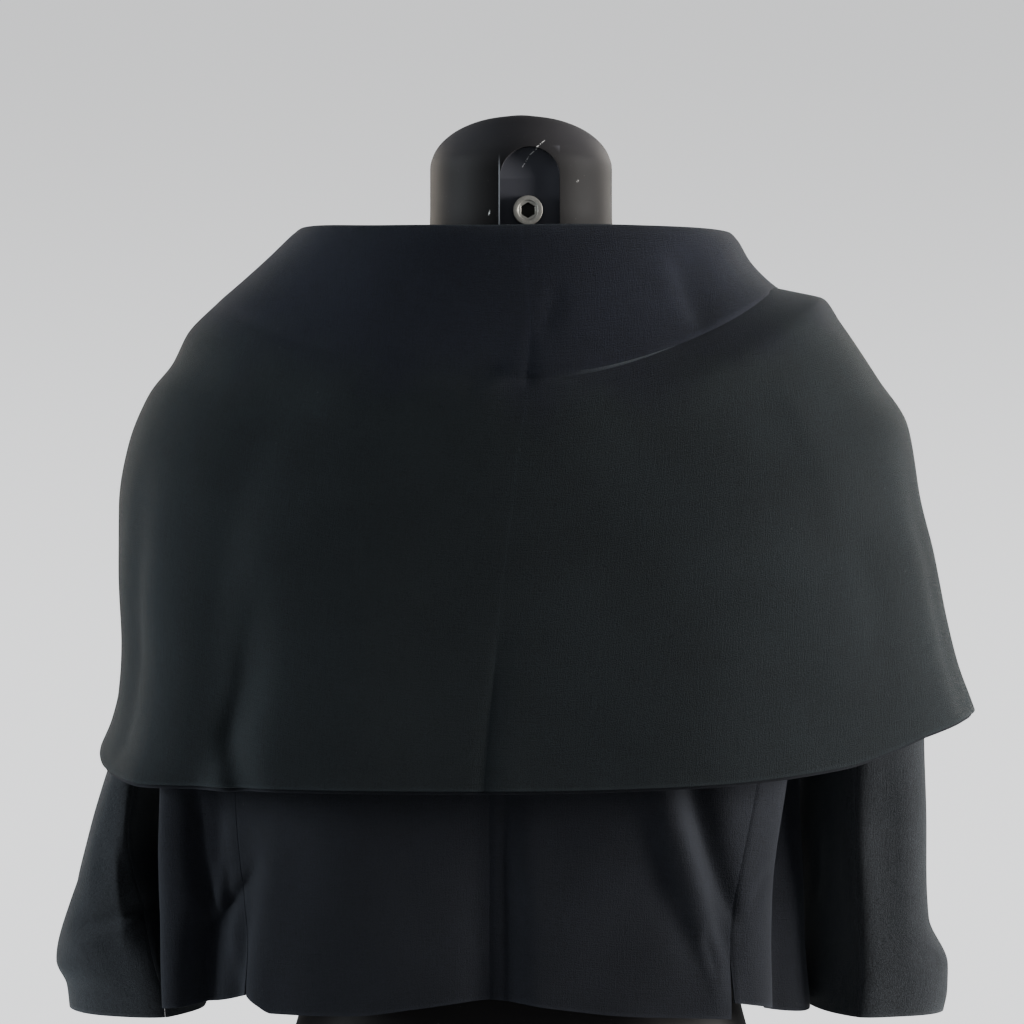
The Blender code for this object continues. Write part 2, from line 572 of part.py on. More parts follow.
panels = {
    "back_left": body_panel(0.0, BACK_SEAM_LEFT, HEMS["back_left"], columns_left),
    "back_right": body_panel(0.0, BACK_SEAM_RIGHT, HEMS["back_right"], columns_right),
    "front_left": body_panel(180.0, FRONT_SEAM_LEFT, [(1 - h[0], h[1]) for h in reversed(HEMS["front_left"])], columns_front),
    "front_right": body_panel(-180.0, FRONT_SEAM_RIGHT, [(1 - h[0], h[1]) for h in reversed(HEMS["front_right"])], columns_front),
    "side_left": side_panel(BACK_SEAM_LEFT, FRONT_SEAM_LEFT, HEMS["side_left"], 18),
    "side_right": side_panel(BACK_SEAM_RIGHT, FRONT_SEAM_RIGHT, HEMS["side_right"], 13),
}
for name, grid in panels.items():
    if name.startswith("side"):
        pull_edge(grid, "first", 1.3 * SEAM, VENT_SPREAD / 2, VENT_TOP_Z)
        pull_edge(grid, "last", SEAM)
    else:
        pull_edge(grid, "first", 1.3 * SEAM if name.startswith("back") else 2 * SEAM)
        spread = VENT_SPREAD / 2 if name.startswith("back") else 0.0
        pull_edge(grid, "last", 1.3 * SEAM, spread, VENT_TOP_Z)
    cloth(name, grid, WOOL)

# --- the sleeves, each from the armhole loop down to its hem
for name, sign, rows_of, back, front, side in (
    ("sleeve_left", 1.0, SLEEVE_LEFT, "back_left", "front_left", "side_left"),
    ("sleeve_right", -1.0, SLEEVE_RIGHT, "back_right", "front_right", "side_right"),
):
    first = len(BODY_ROWS) - 1
    tip = first + next(i for i, r in enumerate(SHOULDER_ROWS) if r >= 0.56)
    loop = np.concatenate(
        [
            panels[back][first : tip + 1, -1][::-1],
            panels[side][-1, 1:-1],
            panels[front][first : tip + 1, -1],
        ]
    )
    along = np.concatenate([[0.0], np.cumsum(np.linalg.norm(np.diff(loop, axis=0), axis=1))])
    for cut, first_seam, last_seam, count in SLEEVE_CUTS:
        turn = np.linspace(first_seam, last_seam, count + 1)
        spots = turn % 1.0 * along[-1]
        ring = np.stack([np.interp(spots, along, loop[:, i]) for i in range(3)], -1)
        ring[:, 0] += sign * (CLOTH + SEAM + 0.8)
        grid = [ring]
        a = 2 * np.pi * turn
        for outer_x, outer_z, inner_x, inner_z, reach_back, reach_front, slant, square in rows_of:
            outer = np.array([sign * outer_x, 0.0, outer_z])
            inner = np.array([sign * inner_x, 0.0, inner_z])
            mid, half = (outer + inner) / 2, (outer - inner) / 2
            centre_y, half_y = (reach_back + reach_front) / 2, (reach_back - reach_front) / 2
            beside = np.sign(np.cos(a)) * np.abs(np.cos(a)) ** (2 / square)
            behind = np.sign(np.sin(a)) * np.abs(np.sin(a)) ** (2 / square)
            points = mid + np.outer(beside, half)
            points[:, 1] = centre_y + half_y * behind
            points[:, 0] += sign * slant * behind
            grid.append(points)
        grid = pull_edge(np.array(grid), "first", 2 * SEAM)
        cloth(name + "_" + cut, pull_edge(grid, "last", 2 * SEAM), WOOL)

# --- the cape collar and the facing that shows below its hem
for side, label in ((1.0, "left"), (-1.0, "right")):
    rows = np.arange(len(CAPE), dtype=float)
    outer = cape_grid(side, rows)
    normal = normals_of(outer) * side
    upper = outer.copy()
    pull_edge(upper, "first", SEAM / 2)
    cloth("cape_" + label, upper, WOOL_CAPE)
    under = (outer - normal * LAYER_PITCH)[list(FACING_ROWS)]
    under[-1, :, 2] -= FACING_PEEK
    pull_edge(under, "first", SEAM / 2)
    cloth("cape_facing_" + label, under, WOOL_FACING)

print("objects:", len(part.objects))
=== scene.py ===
# %% [markdown]
# # A black jacket with a deep cape collar, on a dress form
#
# This lesson dresses the plain solids of a short wool jacket that stands on a
# limbless dress form. The photograph shows its back. The jacket itself is simple: a
# back in two halves, two side panels, two fronts and two loose sleeves, each cut as
# an upper and an under sleeve. What makes it special is the collar. It is cut as two
# wide layers, stands away from the neck like a boat, rolls over and falls to the
# elbows as a cape. Over the wearer's right shoulder it has dropped into a deep fold.
#
# The solids come first and stay in charge of the sizes. Each piece of cloth is laid
# again here on the same form, finer and with its creases, and then gets its weave.

import math

import bpy
import numpy as np
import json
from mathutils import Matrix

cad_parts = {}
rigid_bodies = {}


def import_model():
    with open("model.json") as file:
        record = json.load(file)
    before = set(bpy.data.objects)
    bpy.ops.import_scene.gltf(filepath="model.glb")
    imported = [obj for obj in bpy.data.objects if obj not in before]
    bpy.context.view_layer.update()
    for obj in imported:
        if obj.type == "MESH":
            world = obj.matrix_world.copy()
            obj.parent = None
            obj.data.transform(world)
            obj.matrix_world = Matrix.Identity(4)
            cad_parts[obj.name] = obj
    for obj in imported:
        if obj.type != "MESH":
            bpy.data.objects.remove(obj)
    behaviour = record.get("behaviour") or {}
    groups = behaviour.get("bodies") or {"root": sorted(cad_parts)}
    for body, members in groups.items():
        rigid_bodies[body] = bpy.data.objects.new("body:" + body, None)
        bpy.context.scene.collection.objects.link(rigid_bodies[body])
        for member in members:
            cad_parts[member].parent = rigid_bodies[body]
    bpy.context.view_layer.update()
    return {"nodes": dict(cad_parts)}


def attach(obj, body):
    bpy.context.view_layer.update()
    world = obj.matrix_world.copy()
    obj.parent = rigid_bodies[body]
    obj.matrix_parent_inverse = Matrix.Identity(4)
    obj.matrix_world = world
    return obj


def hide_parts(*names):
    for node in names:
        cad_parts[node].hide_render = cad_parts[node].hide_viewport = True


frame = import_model()
MM = 0.001
print("solids:", sorted(frame["nodes"]))

# %% [markdown]
# ## The camera first
#
# The photograph was taken level, square to the back, from a little under two metres.
# A blend file's camera looks down its own -Z, so its matrix turns that towards the
# jacket's front, with the wearer's left on the left of the picture. It comes first
# because all creases below were placed by comparing this one view with the photo.

# %% Camera at the photographer's place
import mathutils

PICTURE = 1024.0  # pixels across the picture
FOCAL = 2903.0  # the lens's length in the same pixels
SENSOR = 36.0
CAMERA_PLACE = (0.0056, 1.8, 0.476)

camera_data = bpy.data.cameras.new("back_view_camera")
camera_data.sensor_width = SENSOR
camera_data.lens = SENSOR * FOCAL / PICTURE
camera = bpy.data.objects.new("back_view_camera", camera_data)
bpy.context.scene.collection.objects.link(camera)
looking = mathutils.Matrix(((-1, 0, 0), (0, 0, 1), (0, 1, 0))).to_4x4()
camera.matrix_world = mathutils.Matrix.Translation(CAMERA_PLACE) @ looking
bpy.context.scene.camera = camera
print("lens:", round(camera_data.lens, 2), "mm,", CAMERA_PLACE[1], "m behind the form's centre")

# %% [markdown]
# ## Curves through short tables
#
# A tailor drafts a pattern from a few measures and joins them with smooth curves.
# The same is done here: each surface is a short table of sizes in millimetres, and
# one helper draws a smooth line through a column of it without bulging between the
# rows. A spline would overshoot at the tight roll of the collar, so the slopes are
# limited in the way that monotone curves use.

# %% Helpers for tables and rounded sections
WIDER_THAN_DEEP = 1.6  # how much wider than deep a person is at the chest


def through(xs, ys, x):
    """A smooth curve through a short table, without overshoot between its rows."""
    xs, ys, x = np.asarray(xs, float), np.asarray(ys, float), np.asarray(x, float)
    step = np.diff(xs)
    slope = np.diff(ys) / step
    before, after = slope[:-1], slope[1:]
    total = before + after
    inner = np.where(before * after > 0, 2 * before * after / np.where(total == 0, 1, total), 0.0)
    m = np.concatenate([slope[:1], inner, slope[-1:]])
    x = np.clip(x, xs[0], xs[-1])
    i = np.clip(np.searchsorted(xs, x, side="right") - 1, 0, len(step) - 1)
    t = (x - xs[i]) / step[i]
    return (
        ys[i] * (1 + 2 * t) * (1 - t) ** 2
        + step[i] * m[i] * t * (1 - t) ** 2
        + ys[i + 1] * t * t * (3 - 2 * t)
        + step[i] * m[i + 1] * t * t * (t - 1)
    )


def all_columns(rows, x, scale=None):
    """Each column of a table at x. The scale is the number of the row, unless one is given."""
    scale = np.arange(len(rows)) if scale is None else scale
    return [through(scale, column, x) for column in zip(*rows)]


def bell(x, middle, spread):
    return np.exp(-(((x - middle) / spread) ** 2))


def smooth(x, low, high):
    t = np.clip((x - low) / (high - low), 0.0, 1.0)
    return t * t * (3 - 2 * t)


def compass(angle):
    """How far an angle points to the wearer's left, and how far to the back."""
    return np.sin(np.radians(angle)), np.cos(np.radians(angle))


def powered(share, power):
    """A power that keeps the sign, which squares a round section off."""
    return np.sign(share) * np.abs(share) ** power


def round_plan(angle, left, right, back, front, square_back, square_front):
    """A rounded-off rectangle seen from above. Angle 0 is the centre back."""
    s, c = compass(angle)
    power = 2.0 / np.where(c > 0, square_back, square_front)
    side = np.where(s > 0, left, right)
    deep = np.where(c > 0, back, front)
    return side * powered(s, power), deep * powered(c, power)


def height_round(c, side, back, front):
    """A height that turns from the side's to the back's or to the front's."""
    return side + np.where(c > 0, (back - side) * c * c, (front - side) * np.abs(c) ** 3)


def outward(x, y):
    """Level directions out of a plan that is wider than deep."""
    size = np.hypot(x / WIDER_THAN_DEEP, y)
    return x / WIDER_THAN_DEEP / size, y / size


def both_float(a, b):
    return np.broadcast_arrays(np.asarray(a, float), np.asarray(b, float))


print("a table joined smoothly:", np.round(through((0, 1, 2), (0, 5, 6), (0.5, 1.5)), 2))

# %% [markdown]
# ## The sizes of the body
#
# The body of the jacket is a short tube round the form, boxy and loose. The table
# gives its half widths and depths at seven heights, with the corner at the left back
# and the drag folds that run down from the sleeves as ridges and troughs.

# %% Sizes of the body tube, in millimetres
CLOTH = 1.6
SEAM = 0.3
UNDERARM_Z = 470.0
ARMHOLE_DIP = 16.0
ARMHOLE_TURN = (0.12, 0.56)  # between these rises a side edge runs up to the shoulder seam
SHOULDER_DROP = 32.0
SHOULDER_REACH = 21.0
SHOULDER_SQUARE = (2.3, 7.5)  # at the centre and at the side
NECKLINE_SIDE = (84.0, 606.0)
NECKLINE_BACK = (76.0, 603.0)
NECKLINE_FRONT = (-112.0, 505.0)
NECK_CUT_GAP = 2.6
BODY_SHIFT = 10.0
CB_SHIFT = 18.6
CB_SPREAD = 30.0  # degrees
SHIFT_FADE = (560.0, 240.0)  # the height where both shifts have ended, and over what length
VENT_TOP_Z = 222.0
VENT_SPREAD = 3.6
LOWEST_HEM_Z = 178.0
BODY = (
    # z, left, right, back, front
    (172, 180, 187, 108, 124),
    (220, 180, 184, 108, 126),
    (270, 180, 183, 108, 127),
    (320, 179, 184, 109, 130),
    (380, 176, 186, 109, 134),
    (430, 172, 188, 108, 135),
    (470, 168, 188, 106, 131),
)
BODY_SQUARE = (3.0, 2.5)  # back, front
FOLD_Z = (180, 250, 316, 440)
BODY_FOLDS = (
    # name, angles at FOLD_Z, heights at FOLD_Z, spread
    ("left corner", (72, 72, 72, 74), (34, 35, 35, 4), 8.5),
    ("left trough", (66.5, 62, 64.5, 66), (-4, -5, -3, 0), 4.6),
    ("left ridge", (60.5, 58, 58.5, 60), (0, 1, 1, 0), 4.6),
    ("vent trough", (59, 50, 46, 44), (-6, -2, 0, 0), 5),
    ("vent ridge", (47, 42, 38, 38), (2, 1.5, 0, 0), 6),
    ("right ridge", (-37, -29.5, -22, -18), (1, 5, 8, 2), 4.8),
    ("right valley", (-40, -36, -30, -26), (-1, -4, -7, -1), 4.6),
    ("left front ridge", (150, 148, 146, 144), (6, 5, 4, 2), 8),
    ("left front trough", (133, 133, 132, 132), (-6, -5, -4, 0), 7),
    ("right front ridge", (-154, -151, -148, -146), (5, 5, 4, 1), 7),
    ("right front trough", (-136, -134, -134, -132), (-5, -6, -4, 0), 7),
    ("right hollow", (-65, -68, -76, -84), (-20, -20, -15, -2), 9),
    ("right side ridge", (-104, -106, -108, -110), (-3, -2, -2, 0), 8),
)
CB_VALLEY = {"wide": 15.0, "hem": 7.0, "top": 2.0}
SEAM_Z = (178, 222, 316, 470)
BACK_SEAM = {"left": (51, 52, 56, 60), "right": (-38.5, -39.5, -47, -60)}
FRONT_SEAM = {"left": (122, 122, 121, 120), "right": (-122, -122, -121, -120)}
HEMS = {
    # (fraction across the panel, height of its hem)
    "back_left": ((0, 191), (0.12, 186.5), (0.35, 181.5), (0.8, 180.5), (0.9, 185), (1, 190)),
    "back_right": ((0, 191), (0.12, 186.5), (0.4, 181.5), (0.8, 179), (1, 177.5)),
    "side_left": ((0, 190), (0.12, 186), (0.25, 180), (0.4, 177.5), (0.7, 175), (1, 175)),
    "side_right": ((0, 187), (0.2, 181), (0.5, 173), (0.8, 172.5), (1, 174)),
    "front_left": ((0, 178), (0.5, 176.5), (1, 175)),
    "front_right": ((0, 178), (0.5, 176), (1, 174)),
}
print("the body is about", BODY[2][1] + BODY[2][2], "mm wide above its hem")


# %% Points of the body tube and of the shoulders
def body_tube(angle, z):
    angle, z = both_float(angle, z)
    x, y = round_plan(angle, *all_columns(BODY, z, [r[0] for r in BODY])[1:], *BODY_SQUARE)
    nx, ny = outward(x, y)
    push = 0.0
    for name, angles, heights, spread in BODY_FOLDS:
        push = push + through(FOLD_Z, heights, z) * bell(angle, through(FOLD_Z, angles, z), spread)
    shift = BODY_SHIFT + (CB_SHIFT - BODY_SHIFT) * bell(angle, 0.0, CB_SPREAD)
    shift = shift * np.clip((SHIFT_FADE[0] - z) / SHIFT_FADE[1], 0.0, 1.0)
    valley = through(FOLD_Z[0::2], (CB_VALLEY["hem"], CB_VALLEY["top"]), z) * bell(x, 0.0, CB_VALLEY["wide"])
    valley = np.where(np.abs(angle) < 90, valley, 0.0)
    return np.stack([x + nx * push + shift, y + ny * push - valley, z], -1)


def neckline(angle):
    s, c = compass(angle)
    deep = np.where(c > 0, NECKLINE_BACK[0], -NECKLINE_FRONT[0])
    high = height_round(c, NECKLINE_SIDE[1], NECKLINE_BACK[1], NECKLINE_FRONT[1])
    return np.stack([NECKLINE_SIDE[0] * s, deep * c, high], -1)


def shoulder(angle, rise):
    """From the top of the body tube (rise 0) over the shoulder to the neckline (rise 1)."""
    angle, rise = both_float(angle, rise)
    low, top = body_tube(angle, np.full_like(angle, UNDERARM_Z)), neckline(angle)
    s2 = np.sin(np.radians(angle)) ** 2
    reach = np.where(s2 > 0.4, (s2 - 0.4) / 0.6, 0.0)
    low[..., 0] += np.sign(low[..., 0]) * SHOULDER_REACH * reach
    square = SHOULDER_SQUARE[0] + (SHOULDER_SQUARE[1] - SHOULDER_SQUARE[0]) * s2**2
    a = np.radians(90.0 * (1 - rise))
    across, up = np.sin(a) ** (2 / square), np.cos(a) ** (2 / square)
    point = top + (low - top) * across[..., None]
    drop = SHOULDER_DROP * s2**2 * across * up
    point[..., 2] = low[..., 2] + (top[..., 2] - low[..., 2]) * up - drop
    return point


def armhole_angle(seam_angle, rise):
    """Where the side edge of a back or front panel runs, from seam top to shoulder seam."""
    sign = math.copysign(1.0, seam_angle)
    return seam_angle + (sign * 90.0 - seam_angle) * smooth(rise, *ARMHOLE_TURN)


print("neckline at the centre back:", np.round(neckline(0.0), 1), "mm")

# %% [markdown]
# ## Laying a piece of cloth
#
# Every piece starts as what a cutter has on the table: a flat, even grid. Its points
# are then laid on the computed surface, in the way that a modeller would snap a plane
# to a form. The grid keeps two UV maps, both in metres of real cloth. "cloth" runs
# along the threads, so that the weave follows the drape and never stretches, and
# "edges" tells each point how far it is from its hem and from its nearest seam, so
# that the material can press and wear the edges.
#
# Extra rows and columns sit close to the edges, because a seam is a ditch only two
# millimetres wide. Then Solidify gives the sheet its wall.

# %% Helpers that measure a grid of points
CLOSE_TO_EDGE = np.array([0.7, 1.5, 2.6, 4.2])


def spaced(count, length, fine_start=True, fine_end=True):
    """Fractions from 0 to 1, even, with a few close ones at the edges of the piece."""
    t = np.linspace(0.0, 1.0, count + 1)
    close = CLOSE_TO_EDGE / length
    free = 0.3 / count
    start = close[-1] + free if fine_start else -1
    end = 1 - close[-1] - free if fine_end else 2
    parts = [t[(t > start) & (t < end)]]
    if fine_start:
        parts += [[0.0], close]
    if fine_end:
        parts += [[1.0], 1.0 - close]
    return np.unique(np.concatenate(parts))


def lengths(grid, axis):
    """Distance along each line of points, in millimetres."""
    step = np.linalg.norm(np.diff(grid, axis=axis), axis=-1)
    return np.concatenate([np.zeros_like(np.take(step, [0], axis)), np.cumsum(step, axis)], axis)


def running(steps):
    """How far along each point lies, from the steps between the points."""
    return np.concatenate([[0.0], np.cumsum(steps)])


def unit(vectors):
    return vectors / np.maximum(np.linalg.norm(vectors, axis=-1, keepdims=True), 1e-9)


def facing_out(grid, closed=False):
    """Normals of the grid, turned so that they point away from the wearer."""
    centre, du = np.zeros(3), np.gradient(grid, axis=1)
    if closed:
        centre = grid.mean(axis=1, keepdims=True)
        du = np.gradient(np.concatenate([grid[:, -2:-1], grid, grid[:, 1:2]], axis=1), axis=1)[:, 1:-1]
    n = unit(np.cross(du, np.gradient(grid, axis=0)))
    return n if (n * (grid - centre))[..., :2].sum(-1).mean() > 0 else -n


def level_outwards(grid):
    """Level directions out of the body, the same for two panels where they meet."""
    nx, ny = outward(grid[..., 0] - BODY_SHIFT, grid[..., 1])
    return np.stack([nx, ny, np.zeros_like(nx)], -1)


def area_of(grid):
    """Area of the sheet in square metres."""
    a = grid[1:, 1:] - grid[:-1, :-1]
    b = grid[1:, :-1] - grid[:-1, 1:]
    return float(np.linalg.norm(np.cross(a, b), axis=-1).sum() / 2) * MM * MM


print("close columns at an edge:", np.round(spaced(10, 100.0)[:6], 3))


# %% Helpers that work as by hand
def deselect():
    for chosen in list(bpy.context.selected_objects):
        chosen.select_set(False)


def only(piece):
    deselect()
    piece.select_set(True)
    bpy.context.view_layer.objects.active = piece


def mode(name):
    bpy.ops.object.mode_set(mode=name)


def triples(items, what):
    """The three numbers that each item of a mesh has for its place or its normal."""
    flat = np.empty(len(items) * 3)
    items.foreach_get(what, flat)
    return flat.reshape(-1, 3)


def finish_with(piece, label, kind, **settings):
    """Add a modifier, set it and apply it."""
    only(piece)
    modifier = piece.modifiers.new(label, kind)
    for key, value in settings.items():
        setattr(modifier, key, value)
    bpy.ops.object.modifier_apply(modifier=label)


def round_edges(piece, label, width, segments, degrees, harden=False):
    limit = math.radians(degrees)
    finish_with(
        piece, label, "BEVEL", width=width * MM, segments=segments,
        limit_method="ANGLE", angle_limit=limit, harden_normals=harden,
    )


def lay_cloth(name, grid, out, coat, hem_row=0):
    """A flat grid of cloth laid on points in millimetres, with a wall and pressed edges."""
    rows, columns = grid.shape[:2]
    deselect()
    bpy.ops.mesh.primitive_grid_add(x_subdivisions=columns - 1, y_subdivisions=rows - 1, size=1.0)
    piece = bpy.context.object
    piece.name = piece.data.name = name
    points = piece.data.vertices
    flat = triples(points, "co")
    column = np.rint((flat[:, 0] + 0.5) * (columns - 1)).astype(int)
    row = np.rint((flat[:, 1] + 0.5) * (rows - 1)).astype(int)
    points.foreach_set("co", (grid[row, column] * MM).ravel())

    across, down = lengths(grid, 1), lengths(grid, 0)
    to_hem = np.abs(down - down[hem_row : (hem_row + 1) or None])
    to_seam = np.minimum(across, across[:, -1:] - across)
    corner = np.empty(len(piece.data.loops), int)
    piece.data.loops.foreach_get("vertex_index", corner)
    for label, a, b in (("cloth", across, down), ("edges", to_hem, to_seam)):
        layers = piece.data.uv_layers
        layer = layers[0] if label == "cloth" else layers.new(name=label)
        layer.name = label
        both = np.stack([a[row, column], b[row, column]], -1)[corner] * MM
        layer.data.foreach_set("uv", both.ravel())
    piece.data.update()

    only(piece)
    if (triples(points, "normal") * out[row, column]).sum(-1).mean() < 0:
        mode("EDIT")
        bpy.ops.mesh.select_all(action="SELECT")
        bpy.ops.mesh.flip_normals()
        mode("OBJECT")
    finish_with(piece, "wall", "SOLIDIFY", thickness=CLOTH * MM, offset=0.0, use_even_offset=False)
    bpy.ops.object.shade_smooth()
    round_edges(piece, "pressed_edge", 0.30, 2, 60, harden=True)
    piece.data.materials.append(coat)
    print(name, "area", round(area_of(grid), 4), "m2,", len(piece.data.polygons), "faces")
    return piece


print("a wall of cloth is", CLOTH, "mm thick")

# %% [markdown]
# ## Creases, placed one by one
#
# Black wool shows its folds only where the light slides off them. Each crease is a
# short table: its path on the back, front or side of the jacket, how far it stands
# out or sinks in, and how far it spreads to either side. A narrow spread on one side
# and a wide one on the other makes the soft, leaning folds that cloth has, where
# an even groove would look carved. Small slow waves over everything keep the cloth
# from looking like sheet metal.

# %% Helpers for creases and for the slow waves of hanging cloth
WAVES = 14  # slow waves laid over each other
EDGE_REACH = 9.0  # how far into the cloth a pulled edge is felt
VIEWS = {"back": (1, 1.0), "front": (1, -1.0), "left": (0, 1.0), "right": (0, -1.0)}  # axis, way


def full_rows(path):
    """Rows with their spreads. A row that gives none keeps those of the row above."""
    rows, spreads = [], ()
    for row in path:
        spreads = row[3:] or spreads
        rows.append(row[:3] + spreads)
    return rows


def along_path(points, path):
    """Signed distance of each point from a path, and the path's columns there."""
    path = np.asarray(path, float)
    t = np.linspace(0, len(path) - 1, 10 * (len(path) - 1) + 1)
    line = np.stack(all_columns(path, t), -1)
    best = np.full(points.shape[:-1], 1e9)
    side = np.zeros_like(best)
    values = np.zeros(points.shape[:-1] + (path.shape[1] - 2,))
    for a, b in zip(line[:-1], line[1:]):
        d = b[:2] - a[:2]
        w = np.clip(((points - a[:2]) @ d) / max(float(d @ d), 1e-9), 0.0, 1.0)
        near = points - (a[:2] + w[..., None] * d)
        distance = np.hypot(near[..., 0], near[..., 1])
        closer = distance < best
        best = np.where(closer, distance, best)
        side = np.where(closer, np.sign(d[0] * near[..., 1] - d[1] * near[..., 0]), side)
        here = a[2:] + w[..., None] * (b[2:] - a[2:])
        values = np.where(closer[..., None], here, values)
    return best, side, values


def creased(grid, creases, out):
    """Sink and raise the cloth along the listed creases, towards the side they show on."""
    push = np.zeros(grid.shape)
    for view, *path in creases:
        axis, way = VIEWS[view]
        distance, side, values = along_path(grid[..., [1 - axis, 2]], full_rows(path))
        height, spread_a, spread_b = np.moveaxis(values, -1, 0)
        spread = np.maximum(np.where(side > 0, spread_a, spread_b), 0.5)
        share = bell(distance, 0.0, spread) * smooth(out[..., axis] * way, -0.05, 0.25)
        push[..., axis] += way * height * share
    return grid + push


def slow_waves(grid, size, height, seed, out):
    """Low, irregular waves about size mm long, the same on each run."""
    rng = np.random.default_rng(seed)
    push = np.zeros(grid.shape[:2])
    for _ in range(WAVES):
        way = rng.normal(size=3)
        way /= np.linalg.norm(way)
        turns = 2 * np.pi / (size * rng.uniform(0.6, 1.7))
        push += np.sin(grid @ way * turns + rng.uniform(0, 6.28))
    return grid + out * (push * height / 3.0)[..., None]


def seam_ditch(grid, out, first, last, wide=1.7):
    """Turn the side edges of a piece in, as where it is sewn to the next one."""
    across = lengths(grid, 1)
    depth = first * bell(across, 0.0, wide) + last * bell(across[:, -1:] - across, 0.0, wide)
    return grid - out * depth[..., None]


def pull_edge(grid, side, gap, spread=0.0):
    """Draw a side edge back along its rows, more below the top of a vent."""
    across, column, way = lengths(grid, 1), 0, 1
    if side == "last":
        across, column, way = across[:, -1:] - across, -1, -1
    below = (VENT_TOP_Z - grid[:, column, 2]) / (VENT_TOP_Z - LOWEST_HEM_Z)
    much = gap + spread * np.clip(below, 0.0, 1.0)
    pull = much[:, None] * np.exp(-across / EDGE_REACH)
    return grid + unit(np.gradient(grid, axis=1) * way) * pull[..., None]


print("views for creases:", list(VIEWS))

# %% [markdown]
# ## The cloth's material: a plain-woven black wool
#
# Black suiting isn't one black. Seen close, warp and weft cross in a plain weave of
# about twenty threads to the centimetre, with thicker and thinner threads; a step
# back, the fuzz of the wool catches light at the edges of each fold. The weave is
# built from two sets of bands and a checker that says which thread lies on top, all
# read from the "cloth" UV map in metres. It could be an image, but a pattern made of
# nodes stays sharp at any distance. The fuzz is the shader's sheen, and the "edges"
# map makes hems and seams a little flatter and lighter, as an iron leaves them.

# %% Helpers for materials
def new_material(name):
    """A new material and its shader. The helpers write into the tree that was opened last."""
    global tree
    made = bpy.data.materials.new(name)
    made.use_nodes = True
    tree = made.node_tree
    return made, next(n for n in tree.nodes if n.type == "BSDF_PRINCIPLED")


def add(kind, **values):
    node = tree.nodes.new(kind)
    for key, value in values.items():
        setattr(node, key, value)
    return node


def put(value, socket):
    """Link a value that comes from a node, or set one that doesn't."""
    if isinstance(value, bpy.types.NodeSocket):
        tree.links.new(value, socket)
    else:
        socket.default_value = value


def settle(node, **sockets):
    """Fill sockets by their names, with _ for each blank."""
    for name, value in sockets.items():
        put(value, node.inputs[name.replace("_", " ")])
    return node


def maths(operation, *values, clamp=False):
    node = add("ShaderNodeMath", operation=operation, use_clamp=clamp)
    for value, socket in zip(values, node.inputs):
        put(value, socket)
    return node.outputs[0]


def times(*values):
    """The product of two or more values."""
    product = values[0]
    for value in values[1:]:
        product = maths("MULTIPLY", product, value)
    return product


def apart(a, b):
    return maths("ABSOLUTE", maths("SUBTRACT", a, b))


def spread_map(value, low, high, to_low=0.0, to_high=1.0):
    node = add("ShaderNodeMapRange", interpolation_type="SMOOTHSTEP")
    limits = {"From_Min": low, "From_Max": high, "To_Min": to_low, "To_Max": to_high}
    return settle(node, Value=value, **limits).outputs["Result"]


def noise(coordinates, scale, detail, rough, stretch=None):
    if stretch:
        coordinates = settle(add("ShaderNodeMapping"), Scale=stretch, Vector=coordinates).outputs["Vector"]
    node = add("ShaderNodeTexNoise")
    return settle(node, Scale=scale, Detail=detail, Roughness=rough, Vector=coordinates).outputs["Fac"]


def axis_of(vector, axis):
    return settle(add("ShaderNodeSeparateXYZ"), Vector=vector).outputs[axis]


def blend_colours(share, a, b, how="MIX"):
    node = settle(add("ShaderNodeMix", data_type="RGBA", blend_type=how), Factor=share)
    for label, colour in (("A", a), ("B", b)):
        socket = next(s for s in node.inputs if s.name == label and s.type == "RGBA")
        put((*colour, 1.0) if isinstance(colour, tuple) else colour, socket)
    return next(s for s in node.outputs if s.type == "RGBA")


def bumped(height, strength, distance, before=None):
    node = settle(add("ShaderNodeBump"), Strength=strength, Distance=distance, Height=height)
    if before:
        settle(node, Normal=before)
    return node.outputs["Normal"]


print("material helpers are ready")


# %% The black wool
THREAD = 0.00052  # metres from one thread to the next
LINT = (0.055, 0.058, 0.060)


